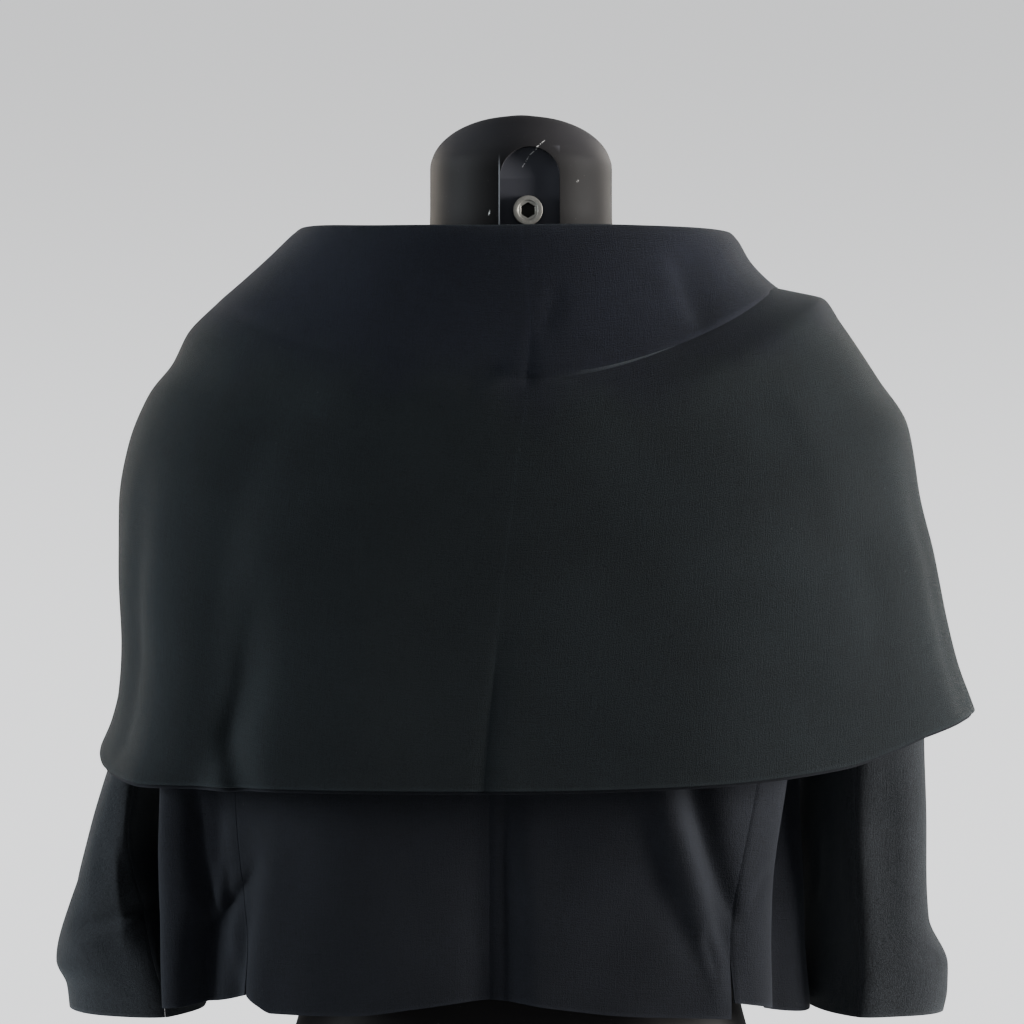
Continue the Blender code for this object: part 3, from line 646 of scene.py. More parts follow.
def black_wool(name, deep, light, sheen, sheen_tint, painted_sky_tint=None):
    made, shader = new_material(name)
    cloth = add("ShaderNodeUVMap", uv_map="cloth").outputs["UV"]
    edges = add("ShaderNodeUVMap", uv_map="edges").outputs["UV"]
    place = add("ShaderNodeTexCoord").outputs["Object"]

    # warp and weft, each thread a rounded band, and which one lies on top
    bands = []
    for way in ("X", "Y"):
        wave = add("ShaderNodeTexWave", wave_type="BANDS", bands_direction=way, wave_profile="SIN")
        pitch = 2 * math.pi / (20.0 * THREAD)
        settle(wave, Scale=pitch, Distortion=0.7, Detail=1.0, Detail_Scale=0.35, Vector=cloth)
        bands.append(wave.outputs["Fac"])
    checker = settle(add("ShaderNodeTexChecker"), Scale=1.0 / THREAD, Vector=cloth)
    over = checker.outputs["Fac"]
    weft = times(bands[1], maths("SUBTRACT", 1.0, over))
    weave = maths("ADD", times(bands[0], over), weft)

    # thicker and thinner threads, the felted fuzz between them, and slow clouds
    slubs = [noise(cloth, 1.0, 2.0, 0.6, stretch) for stretch in ((1500.0, 70.0, 1.0), (70.0, 1500.0, 1.0))]
    slubs = spread_map(times(maths("ADD", *slubs), 0.5), 0.36, 0.64)
    fuzz = spread_map(noise(place, 1500.0, 3.0, 0.65), 0.34, 0.68)
    clouds = spread_map(noise(place, 17.0, 4.0, 0.55), 0.32, 0.68)

    # colour: deep between the threads, lighter on top, drifting over the piece
    tone = -0.10
    for layer, weight in ((weave, 0.18), (slubs, 0.24), (fuzz, 0.72), (clouds, 0.16)):
        tone = maths("MULTIPLY_ADD", layer, weight, tone, clamp=layer is clouds)
    pressed = spread_map(axis_of(edges, 0), 0.0006, 0.0030, 0.30, 0.0)
    worn = spread_map(axis_of(edges, 1), 0.0004, 0.0020, 0.15, 0.0)
    tone = maths("ADD", tone, maths("MAXIMUM", pressed, worn), clamp=True)
    colour = blend_colours(tone, deep, light)
    if painted_sky_tint:
        # above the fold of the collar the wool is painted bluer: painted cool light from above on the
        # upward-facing collar
        wander = maths("MULTIPLY_ADD", clouds, 0.030, axis_of(cloth, 1))
        share = spread_map(wander, 0.140, 0.192, 1.0, 0.0)
        colour = blend_colours(share, colour, painted_sky_tint, "MULTIPLY")
    # a few paler fibres that a brush leaves behind
    lint = spread_map(noise(place, 460.0, 1.0, 0.4, stretch=(1.0, 1.0, 0.6)), 0.80, 0.86, 0.0, 0.35)
    colour = blend_colours(lint, colour, LINT)

    turned = spread_map(axis_of(edges, 0), 0.0, 0.0022, 1.0, 0.0)
    normal = bumped(weave, 0.50, 0.00016)
    for layer, strength, distance in ((slubs, 0.40, 0.00024), (fuzz, 0.60, 0.00024), (turned, 0.25, 0.00040)):
        normal = bumped(layer, strength, distance, normal)
    rough = maths("MULTIPLY_ADD", fuzz, 0.12, 0.80)
    settle(
        shader, Base_Color=colour, Roughness=rough, Normal=normal, Specular_IOR_Level=0.08,
        Sheen_Weight=sheen, Sheen_Roughness=0.38, Sheen_Tint=(*sheen_tint, 1.0),
    )
    return made


# the body wears the same wool painted a little darker than the cape's: painted shade on the body
WOOL_BODY_PAINTED_DARKER = black_wool(
    "black_wool_suiting_painted_darker", (0.0009, 0.0011, 0.0018), (0.0078, 0.0089, 0.0122), 0.034, (0.76, 0.86, 1.0),
)
# the sleeves wear the same wool painted lighter: painted light on the sleeves
WOOL_SLEEVE_PAINTED_LIGHTER = black_wool(
    "black_wool_sleeve", (0.0018, 0.0021, 0.0027), (0.0184, 0.0206, 0.0236), 0.066, (0.80, 0.92, 1.0),
)
# the cape's collar above the fold takes a painted bluer tint: painted cool light from above
WOOL_CAPE = black_wool(
    "black_wool_cape_layer", (0.0010, 0.0015, 0.0018), (0.0086, 0.0114, 0.0132), 0.040, (0.84, 0.97, 1.0),
    painted_sky_tint=(0.98, 0.84, 1.22),
)
WOOL_UNDER = black_wool(
    "black_wool_under_layer", (0.0008, 0.0010, 0.0016), (0.0056, 0.0064, 0.0086), 0.024, (0.8, 0.86, 1.0),
)
print("cloth materials:", WOOL_BODY_PAINTED_DARKER.name, WOOL_SLEEVE_PAINTED_LIGHTER.name, WOOL_CAPE.name, WOOL_UNDER.name)

# %% [markdown]
# ## The body of the jacket
#
# Six panels make the body. Their side edges follow the seam tables, and a seam is
# modelled as the maker leaves it: both edges turn in and meet at the bottom of a
# narrow ditch. Below the vents the edges part. The creases come last, where the
# photograph shows them: two soft troughs that run down from the left sleeve, a long
# ridge that leans towards the right seam, and quieter ones on the front and the
# sides, which the photograph doesn't show.

# %% Creases of the body, in millimetres
BODY_CREASES = (
    # view, then rows of (x or y, z, height, spread on its left and right, if it changes there)
    ("back", (195.8, 315.8, -1.6, 5, 4.5), (192.9, 295.2, -3), (191.7, 274.7, -4.2, 5.5, 4),
     (188.7, 257, -5.8, 6, 4), (185, 239.5, -8.4, 7, 4), (187, 221.8, -11, 9, 7.5),
     (188.6, 197.4, -12, 9.5, 8), (189.4, 180, -11)),
    ("back", (176, 302, 0, 5, 8), (173.8, 289.3, 1.4), (175.9, 271.7, 2.4, 4, 7), (178.8, 254.1, 3, 3.2, 5),
     (183, 238.6, 2.8, 2.6, 3.6), (184.6, 231, 0)),
    ("back", (152, 271, 0, 2.6, 6), (157.5, 264, -2), (163.6, 255.6, -3.8, 2.8, 6),
     (170.6, 246.4, -5, 3, 6), (178.4, 236.6, -5, 3.2, 6), (183.4, 229.6, -2, 4, 6)),
    ("back", (164, 246, 0, 4, 9), (170, 232, 1.8, 4, 10), (169, 214, 2.2, 5, 10),
     (160.7, 198.5, 1.4, 6, 10), (152, 184, 0)),
    ("back", (-86, 334, 0.5, 9, 6), (-89.4, 314.8, 1.2), (-93.5, 295, 1.4), (-101.1, 267.6, 1.7, 9, 5),
     (-112.8, 243.6, 1.9, 8, 4), (-124, 228, 0.8, 7, 3.4)),
    ("back", (-99.5, 322, 0, 5, 9), (-104, 296, -1.2, 4.6, 10), (-112, 268, -1.7, 4.2, 9),
     (-121, 246, -1.6, 4, 6), (-127, 234, 0)),
    ("back", (-78, 300, 0, 6, 9), (-80, 284, 0.9), (-86, 262, 0.9), (-90, 236, 0)),
    ("back", (-70, 312, 0, 9, 7), (-82, 262, -1.6), (-98, 226, -1.8, 9, 6), (-108, 200, -0.8)),
    ("back", (-106, 231, 0, 2.5, 4), (-108.6, 223, -1.6), (-111.5, 213.7, -1.9), (-116.2, 200, 0)),
    ("back", (-156, 282, 0, 3, 4), (-152, 270.4, -0.9), (-143.7, 258.6, -1.2), (-131.9, 236, 0)),
    ("back", (96, 330, 0.8, 30, 34), (104, 280, 1.6), (100, 215, 0.6)),
    ("back", (-44, 330, 0.6, 30, 30), (-52, 270, 1.4), (-50, 210, 0.4)),
    ("back", (9, 320, -1, 3, 8), (8.5, 270, -1.8, 3, 9), (7, 186, -2.2, 3, 10)),
    ("front", (128, 320, 0, 7, 12), (120, 280, -2.2, 6, 11), (108, 236, -2.6), (100, 196, 0, 8, 12)),
    ("front", (-132, 330, 0, 12, 6), (-122, 288, -1.8, 11, 6), (-114, 244, -2.6, 12, 6),
     (-112, 200, 0, 12, 8)),
    ("front", (60, 300, 0, 9, 9), (56, 250, 1.6, 12, 9), (50, 190, 0.4)),
    ("front", (-46, 310, 0, 9, 9), (-52, 240, 1.5, 9, 12), (-58, 188, 0.3)),
    ("left", (30, 300, 0, 7, 7), (22, 262, -2, 6, 8), (18, 214, -1.4), (20, 184, 0)),
    ("left", (-34, 330, 0, 7, 7), (-30, 276, -1.6, 8, 6), (-24, 222, 0)),
    ("right", (10, 320, 0, 8, 7), (4, 268, -2.2, 8, 6), (-4, 212, -1.2, 9, 6), (-6, 180, 0, 8, 6)),
    ("right", (-48, 300, 0, 8, 7), (-42, 246, -1.4, 8, 6), (-40, 200, 0)),
)
print("creases on the body:", len(BODY_CREASES))


# %% The six panels of the body
USUAL_PLAN = (190.0, 190.0, 115.0, 125.0)  # left, right, back and front, for spacing only
RISES = np.linspace(0.0, 1.0, 26)
PANEL_ROWS = 78
UP_TO_UNDERARM = spaced(PANEL_ROWS, 290.0, True, False)
UNDERARM_ROW = len(UP_TO_UNDERARM) - 1


def evenly_round(start, end, square, count, length):
    """Fractions from one angle to another whose points lie evenly round the wearer."""
    dense = np.linspace(0.0, 1.0, 721)
    x, y = round_plan(start + (end - start) * dense, *USUAL_PLAN, square, square)
    along = running(np.hypot(np.diff(x), np.diff(y)))
    return np.interp(spaced(count, length), along / along[-1], dense)


def back_or_front(centre, seam, hem, count, length):
    across = evenly_round(centre, seam[-1], 2.6, count, length)
    rows = []
    for v in UP_TO_UNDERARM:
        z = through(*zip(*hem), across)
        z = z + (UNDERARM_Z - z) * v
        rows.append(body_tube(centre + (through(SEAM_Z, seam, z) - centre) * across, z))
    for rise in RISES[1:]:
        edge = armhole_angle(seam[-1], rise)
        rows.append(shoulder(centre + (edge - centre) * across, rise))
    return np.array(rows)


def side_of_body(back_seam, front_seam, hem, count, length):
    across = spaced(count, length)
    dip = ARMHOLE_DIP * np.sin(np.pi * across) ** 0.8
    low = through(*zip(*hem), across)
    rows = []
    for v in spaced(PANEL_ROWS, 280.0):
        z = low + (UNDERARM_Z - dip - low) * v
        start, end = through(SEAM_Z, back_seam, z), through(SEAM_Z, front_seam, z)
        rows.append(body_tube(start + (end - start) * across, z))
    return np.array(rows)


# columns and about the width in millimetres, which spaces them
WEAVE_COLUMNS = {
    "back_left": (110, 250.0), "back_right": (96, 210.0), "front_left": (72, 200.0),
    "front_right": (72, 200.0), "side_left": (84, 200.0), "side_right": (84, 190.0),
}
# how far each piece turns in at its first and at its last edge, in millimetres
SEAM_DEPTHS = {
    "back_left": (0.45, 0.06), "back_right": (0.45, 0.0), "side_left": (0.06, 0.4),
    "side_right": (0.9, 0.4), "front_left": (0.1, 0.4), "front_right": (0.1, 0.4),
}
panels, pieces = {}, {}
for name, columns in WEAVE_COLUMNS.items():
    part, side = name.split("_")
    vent = 0.0 if part == "front" else VENT_SPREAD / 2
    if part == "side":
        grid = side_of_body(BACK_SEAM[side], FRONT_SEAM[side], HEMS[name], *columns)
        grid = pull_edge(pull_edge(grid, "first", SEAM / 2, vent), "last", SEAM / 2)
    else:
        centre, seam, gap = (0.0, BACK_SEAM, 0.7 * SEAM) if part == "back" else (180.0, FRONT_SEAM, 2 * SEAM)
        centre = centre if side == "left" else -centre
        grid = back_or_front(centre, seam[side], HEMS[name], *columns)
        grid = pull_edge(pull_edge(grid, "first", gap), "last", SEAM / 2, vent)
    out = level_outwards(grid)
    grid = creased(slow_waves(grid, 70.0, 0.45, 11, out), BODY_CREASES, out)
    panels[name] = seam_ditch(grid, out, *SEAM_DEPTHS[name])
for name, grid in panels.items():
    pieces[name] = lay_cloth("cloth_" + name, grid, level_outwards(grid), WOOL_BODY_PAINTED_DARKER)

# %% [markdown]
# ## The sleeves
#
# The sleeves hang empty, short and wide. A ring round the armhole flows into the
# sections of a table, from the sleeve's outer line to its inner one, and is then cut
# into the upper sleeve outside and the narrower under sleeve against the body. Behind,
# the empty cloth hangs in a soft corner: outside it the sleeve turns a little outwards
# and catches the light, and inside it falls away towards the body and stays dark.

# %% Sizes of the sleeves, in millimetres
SLEEVES = {
    # outer x, outer z, inner x, inner z, back, front, slant and squareness of the section
    "left": (
        (206, 561, 187, 441, 64, -66, 0, 2),
        (221.5, 541, 190, 430, 62, -66, 0, 2),
        (233, 508, 192, 419, 59, -66, 0, 2),
        (239, 462, 195, 406, 56, -66, 0, 2.1),
        (239, 404, 202, 382, 53, -62, 2, 2.1),
        (239, 362, 212, 352, 46, -60, 2, 2.1),
        (251.2, 320, 221, 316, 38, -58, 7, 2.4),
        (264.2, 278, 222, 278, 40, -57, 7, 2.6),
        (276.6, 236, 209, 238, 44, -56, 5, 2.5),
        (287.4, 199, 200, 200, 46, -54, -0.4, 2.4),
        (281.6, 184, 198, 184, 46, -54, -2.6, 2.4),
        (279.8, 170, 197, 170, 46, -54, -2.6, 2.4),
    ),
    "right": (
        (207, 566, 190, 441, 64, -66, 0, 2),
        (218.5, 548, 193, 430, 62, -66, 0, 2),
        (231.5, 520, 195, 419, 59, -66, 0, 2),
        (240.5, 470, 196, 406, 57, -66, 0, 2.2),
        (244, 410, 191, 382, 55, -64, 3, 2.6),
        (244.2, 362, 185.8, 352, 53, -62, 6.5, 3),
        (243.2, 318, 181, 316, 52, -58, 9, 3.3),
        (243.2, 278, 180, 278, 51, -55, 9.5, 3.3),
        (245.8, 228, 181, 230, 50, -53, 9.5, 3),
        (259.4, 198, 180.5, 198, 49, -52, 8, 2.8),
        (259.4, 183, 180, 183, 48, -52, 7.5, 2.8),
        (257.4, 170.5, 179.5, 170.5, 48, -52, 7, 2.8),
    ),
}
SLEEVE_CREASES = (
    # view, then rows as for the creases of the body
    ("back", (276, 222, 0, 5, 9), (262, 225, -3, 4, 9), (250.1, 228, -4.6, 4, 10), (237.9, 231.6, -4.6),
     (218, 237, -1, 4, 9)),
    ("back", (282, 212, 0, 5, 5), (268, 213, 1.8, 7, 4), (250, 213, 0)),
    ("back", (262, 300, 0, 8, 6), (262, 262, 1.2, 9, 6), (266, 232, 0)),
    ("back", (-202, 330, 0, 4, 9), (-203.4, 295.8, 0.9, 3.5, 9), (-205.2, 253.5, 1.2),
     (-207, 205.8, 0.8, 4, 9), (-209, 176, 0.2)),
    ("back", (-262, 199, 0, 4, 4), (-250, 203, -1.8, 5, 4), (-234.7, 205.1, 0)),
    ("back", (-232, 330, 0, 8, 8), (-234, 270, 0.9, 9, 9), (-236, 210, 0)),
    ("front", (262, 300, 0, 7, 7), (254, 262, -2.4, 8, 6), (240, 226, -2), (226, 206, 0)),
    ("front", (-214, 320, 0, 6, 8), (-220, 262, -2.2), (-226, 206, -1), (-228, 176, 0)),
    ("left", (20, 290, 0, 8, 6), (10, 252, -1.8), (-14, 222, 0)),
    ("right", (-20, 300, 0, 6, 8), (-12, 250, -1.6), (2, 212, 0)),
)
SLEEVE_CORNER = {
    # z, and where the corner lies there from the inner side (-1) to the outer side (1)
    "left": ((190, -0.52), (212, -0.55), (236, -0.15), (278, -0.45), (320, -0.6), (400, -0.6)),
    "right": ((205, -0.53), (230, -0.67), (278, -0.75), (318, -0.8), (400, -0.8)),
}
CORNER_STARTS = (420.0, 340.0)  # it fades in between these heights
CORNER_FALL = {"left": (16.0, 13.0), "right": (13.0, 13.0)}  # inside it and outside it
SLEEVE_CLEAR = 0.8  # further out than the armhole's own edge
SEAM_OF_SLEEVE = 0.32  # turns from the outer line to each seam, through the back and the front
print("sleeve sections:", len(SLEEVES["left"]), "a side, creases:", len(SLEEVE_CREASES))


# %% The two sleeves
def armhole_loop(side):
    """The cut edge of the armhole, from the shoulder down the back and up the front."""
    tip = UNDERARM_ROW + int(np.argmin(np.abs(RISES - ARMHOLE_TURN[1])))
    back = panels["back_" + side][UNDERARM_ROW : tip + 1, -1][::-1]
    front = panels["front_" + side][UNDERARM_ROW : tip + 1, -1]
    return np.concatenate([back, panels["side_" + side][-1, 1:-1], front, back[:1]])


def sleeve_points(side, sign):
    """The whole sleeve as a closed grid, and the column where the under sleeve starts."""
    wide = 2 * SEAM_OF_SLEEVE
    upper = -SEAM_OF_SLEEVE + wide * spaced(96, 235.0)
    under = SEAM_OF_SLEEVE + (1 - wide) * spaced(52, 130.0)
    turn = np.concatenate([upper, under[1:]])
    loop = armhole_loop(side)
    along = running(np.linalg.norm(np.diff(loop, axis=0), axis=1))
    ring = np.stack([np.interp(turn % 1.0 * along[-1], along, loop[:, i]) for i in range(3)], -1)
    ring[:, 0] += sign * (CLOTH + SEAM + SLEEVE_CLEAR)
    rings = [ring]
    s, c = np.sin(2 * np.pi * turn), np.cos(2 * np.pi * turn)
    fall_in, fall_out = CORNER_FALL[side]
    for outer_x, outer_z, inner_x, inner_z, back, front, slant, square in SLEEVES[side]:
        outer = np.array([sign * outer_x, 0.0, outer_z])
        inner = np.array([sign * inner_x, 0.0, inner_z])
        beside, behind = powered(c, 2 / square), powered(s, 2 / square)
        points = (outer + inner) / 2 + np.outer(beside, (outer - inner) / 2)
        points[:, 1] = (back + front) / 2 + (back - front) / 2 * behind
        points[:, 0] += sign * slant * behind
        corner = through(*zip(*SLEEVE_CORNER[side]), points[:, 2])
        inside = np.clip((corner - beside) / (1 + corner), 0.0, 1.0) * fall_in
        outside = np.clip((beside - corner) / (1 - corner), 0.0, 1.0) * fall_out
        fall = (inside + outside) * np.clip(behind, 0.0, 1.0)
        points[:, 1] -= fall * smooth(points[:, 2], *CORNER_STARTS)
        rings.append(points)
    rings = np.array(rings)
    at = running(np.linalg.norm(np.diff(rings, axis=0), axis=-1).mean(axis=1))
    fine = spaced(150, at[-1]) * at[-1]
    grid = np.empty((len(fine), len(turn), 3))
    for k in range(len(turn)):
        grid[:, k] = np.stack(all_columns(rings[:, k], fine, at), -1)
    return grid, len(upper) - 1


for side, sign in (("left", 1.0), ("right", -1.0)):
    grid, cut = sleeve_points(side, sign)
    out = facing_out(grid, closed=True)
    grid = creased(slow_waves(grid, 60.0, 0.5, 23, out), SLEEVE_CREASES, out)
    grid[:, -1] = grid[:, 0]
    for half, columns in (("upper", slice(0, cut + 1)), ("under", slice(cut, None))):
        name = "sleeve_" + side + "_" + half
        points = pull_edge(pull_edge(grid[:, columns], "first", SEAM / 2), "last", SEAM / 2)
        panels[name] = seam_ditch(points, out[:, columns], 0.4, 0.4)
        pieces[name] = lay_cloth("cloth_" + name, panels[name], out[:, columns], WOOL_SLEEVE_PAINTED_LIGHTER, hem_row=-1)

# %% [markdown]
# ## The cape collar
#
# The collar is sewn to the neckline, stands up and out like the rim of a bowl, rolls
# over at the height of the neck and falls to the elbows. One table takes a section of
# it down the left side, the right side, the back and the front, and the surface turns
# smoothly between them. Over the wearer's right shoulder the upper part has slipped
# down over the lower: its rows swing out and then sharply in, which gives a real
# overhang with its own shadow. A painted dark line would go flat from the side.

# %% Sizes of the cape collar, in millimetres
LAYER_PITCH = 2.1
FACING_PEEK = 1.8
ROLL_ROW, FACING_ROW, LOWER_ROW, MID_ROW, PEEK_ROW, HEM_ROW = 9, 11, 12, 14, 17.6, 19
CB_SEAM_SHOWS = (440.0, 360.0)  # the centre back seam opens between these heights
CAPE = (
    # left x, z, right x, z, back y, z, front y, z, squareness, centre back shift
    (84, 606, 84, 606, 76, 603, -112, 505, 2, 0),
    (108, 632, 104, 630, 83, 624, -117.5, 519, 2, 0),
    (130, 648, 123, 645.5, 88.5, 641, -126, 522, 2, 0),
    (136, 650, 129, 647.5, 92.5, 644.5, -131, 522, 2, 0),
    (140.5, 647, 133.5, 643.5, 96.5, 640, -136, 516, 2, 0),
    (154, 634, 141, 630.5, 106, 612, -140, 499, 2.05, -3),
    (170.5, 618.5, 150, 620, 117.5, 578, -143, 481, 2.1, -4.5),
    (183, 607, 155.5, 614.5, 124.5, 558.5, -145, 468, 2.15, -4),
    (187.5, 602.5, 161, 610.5, 126.5, 551.5, -145.5, 463, 2.15, -3.5),
    (193, 597, 173, 608.5, 128.5, 545.5, -146, 458, 2.2, -3),
    (203, 586, 187.5, 606.5, 130.5, 534, -147, 448, 2.25, -2),
    (213, 566.5, 198.5, 590.5, 132, 515, -148, 437, 2.3, 1.5),
    (228.5, 547.5, 219, 558.5, 132.5, 490, -148.5, 425, 2.35, 4.5),
    (240.5, 518, 238, 529, 133, 458, -149, 411, 2.4, 8.5),
    (245.8, 480, 244.5, 487, 133.5, 425, -149.5, 395, 2.4, 12),
    (246.6, 440, 254, 451, 134, 394, -150, 379, 2.4, 15),
    (245, 397, 261, 412, 134.5, 366, -150.5, 364, 2.4, 17.5),
    (246.4, 368, 268.5, 382, 135, 345, -151, 350, 2.4, 19.5),
    (251, 348, 274.5, 365, 135.5, 328.5, -151.5, 339, 2.4, 20.5),
    (258.5, 331, 278, 355, 136, 315.7, -152, 330, 2.4, 21.3),
)
# the fold over the right shoulder: row, how far out and how far up
CAPE_FOLD = (
    (4, 0, 0), (5, 0.4, 0), (6, 1.4, 0), (7, 2.6, 0),
    (8, -8.6, 5.4), (9, -7.4, 4.2), (10, -3, 1.6), (12, 0, 0),
)
FOLD_REACH = ((-180, 0), (-135, 0), (-105, 0.7), (-85, 0.9), (-60, 1), (-25, 0.8), (-8, 0.45), (0, 0.25))
CAPE_HEM = (
    (-180, 330), (-150, 334), (-120, 346), (-90, 355), (-78, 352.5), (-60, 344), (-52, 336), (-42, 327),
    (-19, 318), (0, 315.7), (25, 316), (50, 315.8), (63, 318.3), (74, 322), (82, 327.5), (90, 331.5),
    (100, 333), (120, 331), (150, 330), (180, 330),
)
CAPE_WAVES = (
    # name, angle high, angle low, height at the hem, height at mid cape, spread
    ("left back trough", 38, 41, -6, -3, 5.5),
    ("left back ridge", 52, 55, 3, 1.5, 7),
    ("right back swell", -22, -24, 2.5, 1.5, 12),
    ("left front ridge", 140, 143, 5, 2, 9),
    ("left front trough", 122, 123, -5, -2, 8),
    ("right front ridge", -145, -148, 5, 2, 9),
    ("right front trough", -126, -128, -5, -2, 8),
)
CAPE_FRONT_EDGE = 178.6
CAPE_CREASES = (
    # view, then rows of (x or y, z, height, spread on its left and right, if it changes there)
    ("back", (150, 446, 0, 12, 12), (157.5, 404.7, -3, 9, 13), (161.5, 373.6, -5.6, 8, 12),
     (168.4, 340.2, -7.2, 8, 11), (163.2, 312, -5.4)),
    ("back", (149.8, 534.2, 0, 9, 12), (122.1, 537.7, 1), (99.6, 540, 1.3, 8, 12), (64.4, 541.7, 1.3),
     (29.8, 545.8, 1.2, 6, 9), (8, 553, 0)),
    ("back", (34, 543.5, 0, 3, 6), (26, 548.5, -1.1), (16, 555.5, -1.1), (8, 561, 0)),
    ("back", (-5.6, 588, 0, 3, 4), (-5, 577, -0.5, 3, 4.5), (-4.2, 565, -0.8, 3, 5), (-3.4, 553.5, -1),
     (-3, 545, 0)),
    ("back", (-22.2, 613, 0, 5, 7), (-19.9, 601.2, -0.8), (-14.7, 586.7, -1, 4, 7), (-9, 576, 0)),
    ("back", (-90, 634, 0, 7, 14), (-95.5, 614, -2.6), (-102, 594, -2.8), (-109, 580, 0, 7, 12)),
    ("back", (2.2, 430, 0, 5, 8), (10.8, 405, -0.5), (15.4, 379.5, -0.8, 4, 8), (20, 350.7, -1.1),
     (23.4, 314, -1.3)),
    ("back", (-150, 560, 0, 10, 16), (-166, 528, 1.2), (-182, 490, 0.8), (-190, 450, 0)),
    ("back", (-196, 470, 0, 9, 12), (-206, 430, -1), (-212, 392, -0.6), (-214, 350, 0)),
    ("back", (86, 500, 0, 26, 26), (92, 420, 0.9), (96, 350, 0.9), (98, 318, 0.7)),
    ("left", (62, 520, 0, 9, 9), (66, 460, -1.8, 9, 11), (64, 400, -2.4), (60, 335, -1.6)),
    ("left", (10, 540, 0, 12, 12), (4, 470, 1.6), (-2, 400, 2.2), (-6, 335, 1.4)),
    ("left", (-56, 500, 0, 9, 10), (-60, 440, -2), (-62, 380, -2.4), (-66, 335, -1.6)),
    ("right", (48, 520, 0, 10, 10), (44, 450, -1.6), (46, 360, -1.6)),
    ("right", (-20, 530, 0, 12, 12), (-28, 450, 1.8), (-34, 356, 1.6)),
    ("right", (-76, 500, 0, 9, 9), (-80, 430, -1.8), (-84, 356, -1.4)),
    ("front", (96, 480, 0, 10, 10), (92, 410, 1.8, 11, 10), (88, 334, 2, 12, 10)),
    ("front", (52, 450, 0, 8, 9), (48, 390, -1.4, 8, 10), (44, 334, -1)),
    ("front", (-92, 480, 0, 10, 10), (-86, 410, 1.7, 10, 11), (-80, 334, 1.9, 10, 12)),
    ("front", (-44, 450, 0, 9, 8), (-40, 390, -1.2, 10, 8), (-38, 334, -1)),
)
print("cape sections:", len(CAPE), "creases:", len(CAPE_CREASES))


# %% Points of the cape
def cape(angle, row):
    """A point of the cape collar at an angle and a (fractional) row of its table."""
    angle, row = both_float(angle, row)
    columns = all_columns(CAPE, row)
    left_x, left_z, right_x, right_z, back_y, back_z, front_y, front_z, square, centre = columns
    s, c = compass(angle)
    x, y = round_plan(angle, left_x, right_x, back_y, -front_y, square, 2 * square - 1.9)
    z = height_round(c, np.where(s > 0, left_z, right_z), back_z, front_z)
    last = CAPE[-1]
    plain = height_round(c, np.where(s > 0, last[1], last[3]), last[5], last[7])
    lower = (row - LOWER_ROW) / (HEM_ROW - LOWER_ROW)
    z = z + (through(*zip(*CAPE_HEM), angle) - plain) * np.clip(lower, 0.0, 1.0) ** 1.5
    share = through(*zip(*FOLD_REACH), angle)
    share = np.where(angle > 0, FOLD_REACH[-1][1] * (1 - smooth(angle, 0.0, 5.0)), share)
    rows, fold_out, fold_up = zip(*CAPE_FOLD)
    push = share * through(rows, fold_out, row)
    for name, high, low, at_hem, at_mid, spread in CAPE_WAVES:
        wave = through((ROLL_ROW, MID_ROW, HEM_ROW), (0, at_mid, at_hem), row)
        push = push + wave * bell(angle, high + (low - high) * lower, spread)
    nx, ny = outward(x, y)
    x, y = x + nx * push, y + ny * push
    z = z + share * through(rows, fold_up, row)
    x = x + centre * np.where(c > 0, c * c, 0.0)
    near = np.clip(1 - row, 0.0, 1.0)[..., None]
    seam = neckline(angle)
    seam[..., 2] += NECK_CUT_GAP
    return np.stack([x, y, z], -1) * (1 - near) + seam * near


def cape_half(side):
    """Half of the cape, from neck seam to hem and from centre back to front edge."""
    angles = side * CAPE_FRONT_EDGE * evenly_round(0.0, CAPE_FRONT_EDGE, 2.3, 170, 600.0)[None, :]
    table_rows = np.arange(len(CAPE), dtype=float)
    steps = np.linalg.norm(np.diff(cape(angles, table_rows[:, None]), axis=0), axis=-1).mean(axis=1)
    down = running(steps)
    rows = np.interp(spaced(158, down[-1], False, True) * down[-1], down, table_rows)
    return cape(angles, rows[:, None]), rows


# %% The two layers of the cape, left and right
for label, side in (("left", 1.0), ("right", -1.0)):
    grid, rows = cape_half(side)
    grid = pull_edge(grid, "first", 0.03)
    out = facing_out(grid)
    grid = creased(slow_waves(grid, 120.0, 0.55, 5, out), CAPE_CREASES, out)
    out = facing_out(grid)
    first = int(np.argmax(rows >= FACING_ROW))
    under = (grid - out * LAYER_PITCH)[first:]
    under[..., 2] -= (FACING_PEEK * smooth(rows[first:], PEEK_ROW, HEM_ROW))[:, None]
    # the seam at the centre back is pressed flat high up and shows only lower down
    upper = seam_ditch(grid, out, 0.35 * smooth(grid[:, :1, 2], *CB_SEAM_SHOWS), 0.1, wide=1.5)
    layers = (("cape_" + label, upper, WOOL_CAPE), ("cape_facing_" + label, under, WOOL_UNDER))
    for name, points, coat in layers:
        panels[name] = points
        pieces[name] = lay_cloth("cloth_" + name, points, out[-len(points):], coat, hem_row=-1)

# %% [markdown]
# ## The dress form
#
# The form is a moulded plastic shell: a hip-length torso with a straight neck stump,
# a domed top and, at the back of the neck, a flat recess where a socket bolt holds
# the stand's fitting. It is turned from one cylinder whose rings are moved to the
# sections of a table. The recess is cut with a box and a round-ended cutter, and
# its edge gets a small round, because the light draws a bright line exactly there.

